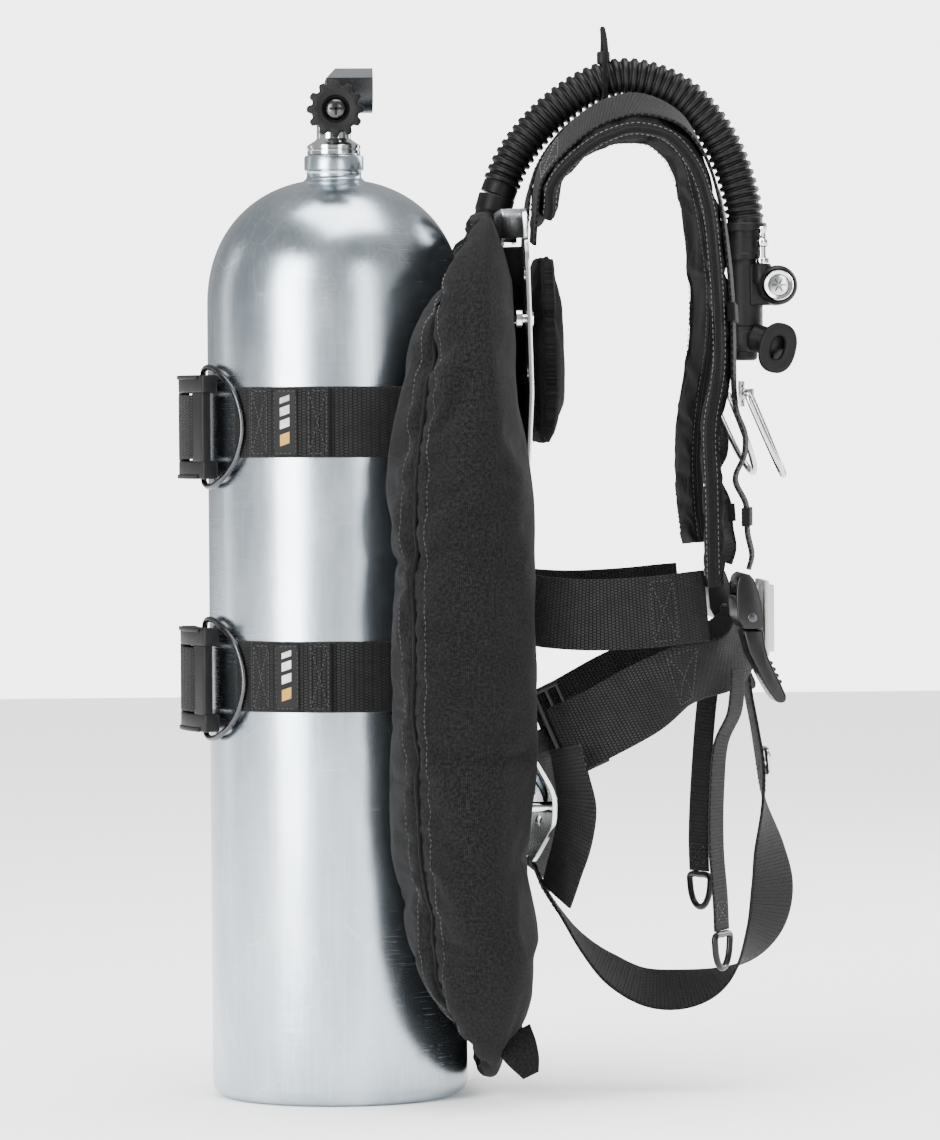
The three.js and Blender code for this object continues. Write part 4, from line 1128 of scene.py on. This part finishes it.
def wing_piping(made):
    """A corded seam and two rows of stitches along the wing's outer edge."""
    k = int(round(SEAM_AT / (2 * math.pi) * WING_SIDES))
    co = np.array([v.co for v in made.data.vertices]).reshape(WING_STEPS, WING_SIDES, 3) / MM
    seam = co[:, k]
    outs = unit(np.cross(np.roll(seam, -1, 0) - np.roll(seam, 1, 0), co[:, k + 2] - co[:, k - 2]))
    centre = co.mean(axis=1)
    outs *= np.sign(np.sum(outs * (seam - centre), axis=1, keepdims=True))
    cord = seam + outs * 1.2
    tube("wing_piping", [tuple(p) for p in cord[::3]], 1.5, TAPE, 8, 3.0, True, ref=(1, 0.02, 0.01),
         slot="nylon")
    sewn = Stitching("wing_stitches")
    for step in (3, -3):
        line = co[:, k + step]
        sewn.row(np.vstack([line, line[:1]]), np.vstack([outs, outs[:1]]), 4.2)
    sewn.done()
    # The two folded tabs where the lower corners' seams are turned in.
    for hand, s in (("right", -1), ("left", 1)):
        tab = Strap([(118, s * 96, 52, 6, 0, 14), (124, s * 97, 40, 6, 0, 12), (129, s * 95, 30, 5, 0, 9),
                     (132, s * 92, 22, 4, 0, 5)], 2.0)
        band(f"wing_tab_{hand}", tab, 2.6, WING_CLOTH, slot="nylon")


wing()

# ---- Inflator hose ----
HOSE = [(121.8, 75, 650), (132, 76, 674), (148.5, 77, 697), (168.5, 78, 716), (190.7, 79, 730.3),
        (212.8, 80, 737),
        (235, 80, 734.6), (258.4, 79, 723.5), (277.5, 77, 703.6), (290.6, 76, 681.5), (299.4, 75, 657.3),
        (304, 74, 635), (304, 74, 617.6)]


def hose():
    pitch = 6.2
    length = resample(HOSE, 1.0)[1]

    def ribs(s):
        if s < 9 or s > length - 15:
            return 0.93
        phase = ((s - 9) / pitch) % 1
        return 0.835 + 0.165 * smooth(0.0, 0.26, phase) * (1 - smooth(0.60, 0.86, phase))

    tube("hose_bellows", HOSE, 14, HOSE_RUBBER, 40, 0.62, False, ribs, (0, 1, 0),
         replaces="corrugated_hose",
         slot="rubber")
    elbow = [(110, 70, 588.5), (111.5, 71, 604), (114, 72.5, 620), (117.6, 74, 635), (121.6, 75, 649)]
    tube("hose_elbow", elbow, 12.6, SATIN_PLASTIC, 40, 1.2, False,
         lambda s: 1.0 + 0.07 * (s > 50) + 0.12 * (s < 6), (0, 1, 0), replaces="wing_elbow", slot="plastic")
    ring = [(14.5, -3), (15.6, -3.2), (16.2, -2.4), (16.2, 2.4), (15.6, 3.2), (14.5, 3), (14.5, -3)]
    turned("hose_clamp_band", ring, SATIN_PLASTIC, (*INFLATOR, 626), sides=64, replaces="hose_clamp",
           slot="steel")
    loop = []
    for a in range(0, 360, 20):
        y, z = polar(20, a, 0, 744.5, tall=28.2)
        squeeze = 1 if z < 750 else 0.5 + 0.5 * smooth(772, 750, z)
        loop.append((201 + 0.6 * math.sin(3 * math.radians(a)), 80 + y * squeeze, z))
    tube("bungee_loop", loop, 1.9, TAPE, 12, 1.5, True, ref=(1, 0, 0), replaces="hose_bungee",
         slot="rubber")
    turned("bungee_sleeve", [(2.0, -5), (4.6, -4.6), (4.9, -3), (4.9, 3), (4.6, 4.6), (2.0, 5)], RUBBER,
           (201, 80, 751), "z", 24)


hose()

# ---- Inflator ----


def inflator():
    x0, y0 = INFLATOR
    barrel = [(0, 534.2), (9.2, 534.2), (10.6, 535), (12.4, 537.5), (13, 541), (13, 549), (12.2, 550),
              (12.2, 553), (13, 554), (13, 598), (13.4, 601), (14.6, 602.5), (14.6, 606), (13.5, 607.4),
              (13.5, 618.4), (12.6, 618.6), (0, 618.6)]
    turned("inflator_barrel", barrel, SATIN_PLASTIC, (x0, y0, 0), sides=64, replaces="inflator_body",
           slot="plastic")
    centre = (x0 + 22, y0, 583)
    housing = [(0, -3), (12.5, -3), (14.2, -1), (14.6, 2), (14.6, 20), (14.0, 23.2), (12.8, 24.6),
               (12.1, 25.2), (11.8, 24.4), (11.8, 16.6), (0, 16.6)]
    turned("button_housing", housing, SATIN_PLASTIC, centre, "y", 72)
    bridge = [(x0 + 2, 568), (x0 + 22, 569), (x0 + 25, 583), (x0 + 21, 597), (x0 + 2, 599)]
    prism("button_bridge", bridge, 22, SATIN_PLASTIC, towards_right(0, y0 + 8, 0), 2.0)
    ring = [(7.6, 26.4), (8.0, 28.2), (10.3, 28.6), (11.0, 27.6), (11.1, 25), (11.1, 20.4), (0, 20.4)]
    turned("inflate_ring", ring, CHROME, centre, "y", 64, body="inflate_push", replaces="inflate_button",
           slot="chrome")
    turned("inflate_centre", [(7.7, 26.2), (7.4, 27.2), (5.4, 27.7), (0, 27.9)], STEEL, centre, "y", 48,
           body="inflate_push")
    for i in range(6):
        turn = Matrix.Rotation(math.radians(60 * i), 4, "Y")
        at = Matrix.Translation((centre[0], y0 - 27.5, centre[2])) @ turn @ towards_right(0, 0, 0)
        prism(f"button_spoke_{i}", rectangle(1.2, 5.2, -0.5, 0.5, 0.3), 0.7, DARK_STEEL, at, 0.12,
              body="inflate_push")
    cap = [(0, 528.2), (6.5, 528.2), (8.3, 529.2), (9, 531), (9, 539)]
    turned("deflate_cap", cap, RUBBER, (x0, y0, 0), sides=48, body="deflate_push",
           replaces="deflate_button", slot="plastic")
    spigot = (x0 + 11, y0 - 17, 0)
    seat = [(0, 584), (6.2, 584), (6.6, 585), (6.6, 597.5), (6, 598.8), (0, 598.8)]
    turned("nipple_seat", seat, SATIN_PLASTIC, spigot, sides=40)
    nipple = [(0, 599.3), (5.4, 599.3), (5.5, 600), (5.5, 602.4), (5.0, 603), (3.4, 603.4), (3.0, 606),
              (3.0, 611), (4.2, 612), (4.6, 613.5), (4.6, 616), (3.6, 617.2), (3.0, 618.5), (3.0, 623),
              (3.4, 623.6), (3.4, 625), (2.6, 626), (0, 626)]
    turned("quick_nipple", nipple, CHROME, spigot, sides=40, replaces="hose_nipple", slot="chrome")
    mouthpiece(x0, y0)


def oval(half_wide, half_tall, count=48, squareness=0.85):
    """A slightly squared ellipse."""
    out = []
    for t in np.linspace(0, 2 * math.pi, count + 1)[:-1]:
        across, up = (math.copysign(abs(part) ** squareness, part) for part in (math.cos(t), math.sin(t)))
        out.append((half_wide * across, half_tall * up))
    return out


def mouthpiece(x0, y0):
    tilt = Matrix.Translation((x0 + 21, y0 - 25.4, 537)) @ Matrix.Rotation(math.radians(14), 4, "Y")
    at = tilt @ towards_right(0, 0, 0)
    rows = [(5.4, 8.4, -5), (9.2, 12.4, -5), (9.0, 12.2, -0.8), (12.6, 17.6, -0.4), (13.6, 18.6, 0.6),
            (13.6, 18.6, 2.6), (12.8, 17.8, 3.7), (11.0, 16.0, 4.0), (6.6, 10.8, 3.8), (5.6, 9.4, 3.2),
            (4.8, 8.9, 1.8), (4.6, 8.6, -5)]
    verts = [at @ Vector((x, y, z)) for a, b, z in rows for x, y in oval(a, b)]
    faces = grid_faces(len(rows), 48, looped=True)
    piece("mouthpiece_flange", verts, faces, RUBBER, replaces="mouthpiece", slot="rubber")
    neck = [(x0 + 6, y0 - 8, 545), (x0 + 12, y0 - 12, 543), (x0 + 18, y0 - 17, 540),
            (x0 + 21, y0 - 23, 537.2)]
    tube("oral_neck", neck, 10.2, SATIN_PLASTIC, 36, 1.5, False, None, (0, 0, 1))


inflator()

# ---- Harness ----
SHOULDER_PAD = {
    "right": [(150, 52, 634), (153, 57, 655), (167, 66, 676), (190, 78, 694), (212, 86, 699),
              (234, 92, 690),
              (250, 96, 668), (260, 99, 638), (265.5, 101, 600), (268.5, 102, 560), (268.5, 103, 520),
              (262, 103, 480), (263, 104, 440), (263.5, 104, 400), (264, 104, 368)],
    "left": [(150, 52, 634), (155, 58, 657), (172, 67, 681), (196, 80, 696.5), (218, 88, 703.5),
             (240, 93, 699),
             (256, 97, 682), (267, 100, 650), (273, 102, 612), (276, 103, 575), (274, 104, 535),
             (268, 104, 495),
             (265, 104, 460), (266, 104, 425), (269, 103, 394)]}
SHOULDER_WEB = {
    "right": [(140, 50, 611), (141.5, 52, 634), (145, 57, 658.5), (161, 66, 682), (186.5, 78, 702),
              (213, 86, 707.7),
              (240.5, 92, 697), (258.5, 96, 672), (269, 99, 640), (274.5, 101, 601), (277.5, 102, 560),
              (277.8, 103, 520), (278.2, 103, 504), (280, 103, 490), (285.5, 103, 475), (285, 104, 460),
              (278.5, 104, 443), (286, 104, 425), (287, 104, 405), (290, 104, 389), (287.5, 104, 379)],
    "left": [(140, 50, 611), (141.5, 52, 634), (147, 58, 661), (166, 67, 687.5), (192, 80, 704.5),
             (218.5, 88, 712),
             (246, 93, 706.5), (264.5, 97, 686), (276, 100, 652.5), (282, 102, 613), (284, 103, 575),
             (281.5, 103, 535), (278.4, 103, 506), (280, 103, 490), (287, 104, 475), (287, 104, 460),
             (281, 104, 445), (289, 104, 425), (291, 104, 405), (293, 103, 390), (290, 103, 379)]}
SIDE_STRAP = [(134.5, 112, 352, 0, 0, 25), (144, 119, 350.5, 0, 0, 25), (175, 124, 348.5, 0, 0, 25),
              (215, 122, 350, -1, 0, 25), (246, 113, 353, -2, 0, 25), (257, 108, 354, -2, 0, 25)]
WAIST_BELT = [(153, 121, 259, -16, -6, 18.5), (176, 124, 270, -13, -3, 21), (210, 120, 288, -9, 0, 23.5),
              (238, 108, 303, -5, 8, 22), (262, 88, 309, 4, 10, 22), (284, 58, 318, 1, 2, 25),
              (297, 30, 334, 0, 0, 25), (302.4, 9, 342, 0, 0, 25)]
PULL = {"right": [(281, 80, 288), (279, 80, 276), (270, 80, 256), (266.5, 80, 222), (266, 80, 180),
                  (268.5, 80, 146), (269.5, 80, 122)],
        "left": [(276, 80, 288), (274, 80, 270), (272, 80, 248), (269, 80, 204), (268, 80, 175),
                 (268.5, 80, 152)]}
CROTCH = [(141, 0, 165, 0, 25, 0), (149, 0, 146, 0, 25, 0), (160, 0, 129, 0, 25, 2),
          (175, 0, 108, 0, 24, 6),
          (196, 0, 88, 0, 22, 11), (221, 0, 74.5, 0, 22, 12), (247, 0, 72.5, 2, 22, 12),
          (272, 0, 79, 6, 22, 9),
          (294, 0, 95, 12, 21, 4), (309, 0, 119, 16, 19, 0), (314, 0, 145, 17, 18, 0),
          (312, 0, 173, 13, 21, 0),
          (308, 0, 209, 3, 25, 0), (306, 0, 235, 0, 25, 0), (302, 0, 262, 0, 25, 0),
          (297, 0, 290, 0, 25, 0),
          (295, 0, 313, 0, 25, 0)]


def lean(i):
    """A shoulder strap's across direction at its station i."""
    top = smooth(0, 4, i) * (1 - smooth(5, 8, i))
    chest = smooth(5, 9, i)
    return unit(np.array((-CHEST_TURN * chest, 1, -0.36 * top)))


def shoulder_stations(points, half, s):
    out = []
    for i, (x, y, z) in enumerate(points):
        w = lean(i) * half
        out.append((x, s * y, z, w[0], s * w[1], w[2]))
    return out


def mirrored(stations, s):
    return [(x, s * y, z, a, s * b, c) for x, y, z, a, b, c in stations]


def pad_section(count=13):
    """A stuffed strip: crowned between its bound edges."""
    top = []
    for u in np.linspace(-1, 1, count * 2 - 1):
        crown = 0.30 + 0.70 * (1 - abs(u) ** 3.4) ** 0.8
        sewn = 0.22 * math.exp(-((abs(u) - 0.84) / 0.045) ** 2)
        top.append((float(u), crown - sewn))
    return top + [(u, -v) for u, v in top[::-1]]


def shoulder(hand, s):
    seed = 2.0 if s < 0 else 6.0
    strap = Strap(shoulder_stations(SHOULDER_PAD[hand], 33, s), 2.6)

    def folds(run, u, v):
        bend = math.exp(-((run - 95) / 70) ** 2)
        edge = abs(u) ** 2
        squash = (0.5 + 1.1 * bend) * noise.noise(Vector((run / 11, seed, u * 0.9)))
        pull = 0.9 * noise.noise(Vector((run / 24, seed + 3, u * 1.7)))
        across = 1.1 * edge * noise.noise(Vector((run / 17, seed + 8, 0))) * math.copysign(1, u)
        return across, (squash + pull) * (1 - 0.5 * edge) * math.copysign(1, v)

    section = pad_section()
    pad = band(f"shoulder_cushion_{hand}", strap, 10.5, PAD_CLOTH, section, folds,
               replaces=f"shoulder_pad_{hand}", slot="nylon")
    sewn_down = [1.0 if abs(u) > 0.95 or abs(abs(u) - 0.84) < 0.04 else 0.0 for u, _ in section]
    pins = sewn_down * len(strap.run)
    inflate(pad, 2.2, 2.2, 10, pins, 0.04)
    for edge, side in (("inner", -1), ("outer", 1)):
        rows = [tuple(strap.at(run, side * (strap.pick(strap.half, run) + 0.3))) for run in strap.run[::2]]
        tube(f"pad_binding_{edge}_{hand}", rows, 2.3, TAPE, 10, 3.0, False, None, (0, 0.1, 1), slot="nylon")
    sewn = Stitching(f"shoulder_stitches_{hand}")
    for side in (-1, 1):
        for face in (-1, 1):
            rows = [(run, side * strap.pick(strap.half, run) * 0.86) for run in strap.run[1:-1:3]]
            sewn.row([strap.at(run, u, face * 3.9) for run, u in rows],
                     [strap.pick(strap.out, run) * face for run, _ in rows], 4.0)
    web = Strap(shoulder_stations(SHOULDER_WEB[hand], WEB_HALF, s), 2.2)
    band(f"shoulder_strap_{hand}", web, WEB_T, WEBBING, replaces=f"shoulder_webbing_{hand}", slot="webbing")
    face = math.copysign(WEB_T / 2, np.dot(web.pick(web.out, 200), (1.0, 0, 0.2)))
    sewn.box(web, 52, 74, WEB_HALF - 4, face)
    sewn.box(web, 232, 250, WEB_HALF - 4, face)
    sewn.done()
    keeper(f"upper_keeper_{hand}", web, 318, face)
    keeper(f"lower_keeper_{hand}", web, web.length - 38, face)
    return web


def keeper(name, strap, s, face):
    """An elastic loop round the webbing."""
    half = strap.pick(strap.half, s) + 1.6
    at = strap.matrix(s)
    section = rectangle(-half, half, -2.9, 2.9, 1.4, 4)
    verts, uvs = [], []
    steps = [(-6.5, 0.55), (-6.3, 1.0), (-3, 1.08), (0, 1.1), (3, 1.08), (6.3, 1.0), (6.5, 0.55)]
    for along, fat in steps:
        for k, (y, z) in enumerate(section):
            verts.append(at @ Vector((along, y, math.copysign(abs(z) - 0.7 + 0.7 * fat, z))))
            uvs.append((along, k * 3.0))
    faces = grid_faces(len(steps), len(section), capped=True)
    piece(name, verts, faces, TAPE, uvs=uvs, slot="webbing")


def dee_ring(name, pivot, turn, half_bar, depth, radius, tilt, material, body, node, slot):
    """A D-ring whose bar lies along the pivot; turn is about Z, tilt about its own bar."""
    bow = []
    for a in np.linspace(12, 168, 11):
        bow.append((0, half_bar * math.cos(math.radians(a)), -depth * math.sin(math.radians(a)) ** 0.8))
    bar = [(0, -half_bar * 0.97, -1.6), (0, -half_bar * 0.6, 0), (0, 0, 0), (0, half_bar * 0.6, 0),
           (0, half_bar * 0.97, -1.6)]
    lean_back = Matrix.Rotation(-math.radians(tilt), 4, "Y")
    at = Matrix.Translation(pivot) @ Matrix.Rotation(turn, 4, "Z") @ lean_back
    points = [tuple(at @ Vector(p)) for p in bow + bar]
    normal = at.to_3x3() @ Vector((1, 0, 0))
    return tube(name, points, radius, material, 16, 1.4, True, None, tuple(normal), body=body,
                replaces=node, slot=slot)


def release_buckle(hand, s):
    middle = s * 104
    body_at = towards_right(0, middle + 29, 0)
    outline = [(276, 358), (276.4, 368), (278, 374.5), (281.6, 377.3), (285.5, 376.2), (288.5, 373),
               (292, 364),
               (294, 356), (295, 345), (295, 338.4), (288, 338), (281, 338.2), (276.8, 346)]
    window = (rectangle(268, 302, 361, 369, 2), 5, 53, body_at)
    prism(f"buckle_frame_{hand}", outline, 58, PLASTIC, body_at, 1.8, [window],
          replaces=f"release_buckle_{hand}", slot="plastic")
    latch = [(281.5, 336.8), (295.5, 337.2), (297, 326), (299.5, 317), (303, 309), (308, 299), (311.5, 291),
             (311.6, 287), (309, 285.4), (305, 286), (300.5, 292), (296.5, 299), (290.5, 311), (285.5, 321)]
    prism(f"buckle_latch_{hand}", latch, 44, PLASTIC, towards_right(0, middle + 22, 0), 1.8,
          replaces=f"release_latch_{hand}", slot="plastic")
    for i in range(4):
        rib = towards_right(301.5 + 2.1 * i, middle + 17, 313.5 - 4.4 * i)
        prism(f"latch_rib_{i}_{hand}", circle(1.5, 16), 34, PLASTIC, rib, 0.5)
    pin = towards_right(287.5, middle + 30.2, 346)
    prism(f"buckle_pin_{hand}", circle(3.4, 28), 60.4, DARK_STEEL, pin, 0.6)


def waist(hand, s):
    side = Strap(mirrored(SIDE_STRAP, s), 2.2)
    band(f"side_webbing_{hand}", side, WEB_T, WEBBING, replaces=f"side_strap_{hand}", slot="webbing")
    belt = Strap(mirrored(WAIST_BELT, s), 2.2)
    band(f"belt_webbing_{hand}", belt, WEB_T, WEBBING, replaces=f"waist_belt_{hand}", slot="webbing")
    sewn = Stitching(f"waist_stitches_{hand}")
    face = math.copysign(WEB_T / 2, np.dot(side.pick(side.out, 60), (0, s, 0)))
    sewn.box(side, 86, 104, WEB_HALF - 4, face)
    face = math.copysign(WEB_T / 2, np.dot(belt.pick(belt.out, 60), (0, s, 0)))
    sewn.box(belt, 92, 112, 19, face)
    sewn.done()
    refined(f"belt_slider_{hand}", PLASTIC, "rig", 0.9, 3)
    tail = [(156, 123, 256, 10, 18, 0), (160, 124, 236, 11, 18, 0), (164, 122, 214, 12, 17, 1),
            (161, 118, 190, 12, 17, 2), (155, 113, 168, 11, 17, 3), (150, 108, 150, 10, 18, 3)]
    band(f"belt_tail_{hand}", Strap(mirrored(tail, s), 2.2), WEB_T, WEBBING, slot="webbing")


def chest(hand, s):
    turn = s * CHEST_TURN
    body = "chest_ring_r" if s < 0 else "chest_ring_l"
    refined(f"chest_slider_{hand}", STEEL, "rig", 0.4, 2)
    dee_ring(f"chest_dee_{hand}", (288.2, s * 103, 503), turn, 27, 62, 2.4, 23, STEEL, body,
             f"chest_ring_{hand}", "steel")


def pull(hand, s):
    top = PULL[hand][0]
    line = [(top[0] + 1, top[1] + 1, top[2] + 20)] + PULL[hand]
    strap = Strap([(x, s * y, z, -6, s * 10.8, 0) for x, y, z in line], 2.0)
    band(f"pull_webbing_{hand}", strap, 1.8, WEBBING, replaces=f"pull_strap_{hand}", slot="webbing")
    x, y, z = PULL[hand][-1]
    body = "pull_ring_r" if s < 0 else "pull_ring_l"
    dee_ring(f"pull_dee_{hand}", (x + 0.5, s * y, z - 2.7), s * 0.5, 13.5, 24, 2.4, 0, PLASTIC, body,
             f"pull_ring_{hand}", "plastic")
    end = strap.length
    sewn = Stitching(f"pull_stitches_{hand}")
    for face in (-0.9, 0.9):
        sewn.box(strap, end - 20, end - 6, 8.5, face)
    sewn.done()


def crotch():
    strap = Strap(CROTCH, 2.2)
    band("crotch_webbing", strap, WEB_T, WEBBING, replaces="crotch_strap", slot="webbing")
    sewn = Stitching("crotch_stitches")
    for face in (-WEB_T / 2, WEB_T / 2):
        sewn.box(strap, 16, 36, WEB_HALF - 4, face)
        sewn.box(strap, strap.length - 98, strap.length - 78, WEB_HALF - 5, face)
    sewn.done()
    dee_ring("crotch_dee", (309.5, 0, 246), 0, 16, 17, 2, 6, STEEL, "front_ring", "crotch_ring", "steel")
    refined("waist_buckle", PALE, "rig", 0.7, 3)


def back_pad():
    heights = [470, 474, 480, 490, 505, 525, 545, 565, 580, 590, 596, 600, 601.5]
    halves = [70, 76, 80, 82.5, 84, 84, 83.5, 82.5, 81.5, 80, 78, 74, 70]
    thick = [2.5, 6.5, 8.5, 10, 11, 11.5, 11.5, 11, 10, 8.8, 7.2, 4.6, 2.5]
    line = [(ramp(PLATE_X, z) + 14.5, 0, z, 0, half, t) for z, half, t in zip(heights, halves, thick)]
    rows, _ = resample(line, 3.0)
    section = pad_section(15)
    verts, uvs, pins = [], [], []
    for x, _, z, _, half, t in rows:
        for u, v in section:
            wrinkle = 0.6 * noise.noise(Vector((z / 16, u * 3.0, 4.0)))
            verts.append((x + v * t + wrinkle * math.copysign(1, v), u * half, z))
            uvs.append((u * half + 100, z))
            pins.append(1.0 if abs(u) > 0.95 else 0.0)
    faces = grid_faces(len(rows), len(section), capped=True)
    made = piece("back_cushion", verts, faces, MESH_CLOTH, uvs=uvs, replaces="back_pad", slot="nylon")
    inflate(made, 2.0, 1.8, 10, pins, 0.03)
    for v in made.data.vertices:
        v.co.x = max(v.co.x, (plate_x(v.co.z / MM) + 2.2) * MM)


for hand_name, sign in (("right", -1), ("left", 1)):
    shoulder(hand_name, sign)
    waist(hand_name, sign)
    release_buckle(hand_name, sign)
    chest(hand_name, sign)
    pull(hand_name, sign)
crotch()
back_pad()


def hidden_metal():
    """The pieces inside the valve and tank keep their CAD shape."""
    for node in ("valve_poppet", "dip_tube"):
        kept = bpy.data.objects[node]
        kept.data.materials.clear()
        kept.data.materials.append(BRASS)


hidden_metal()
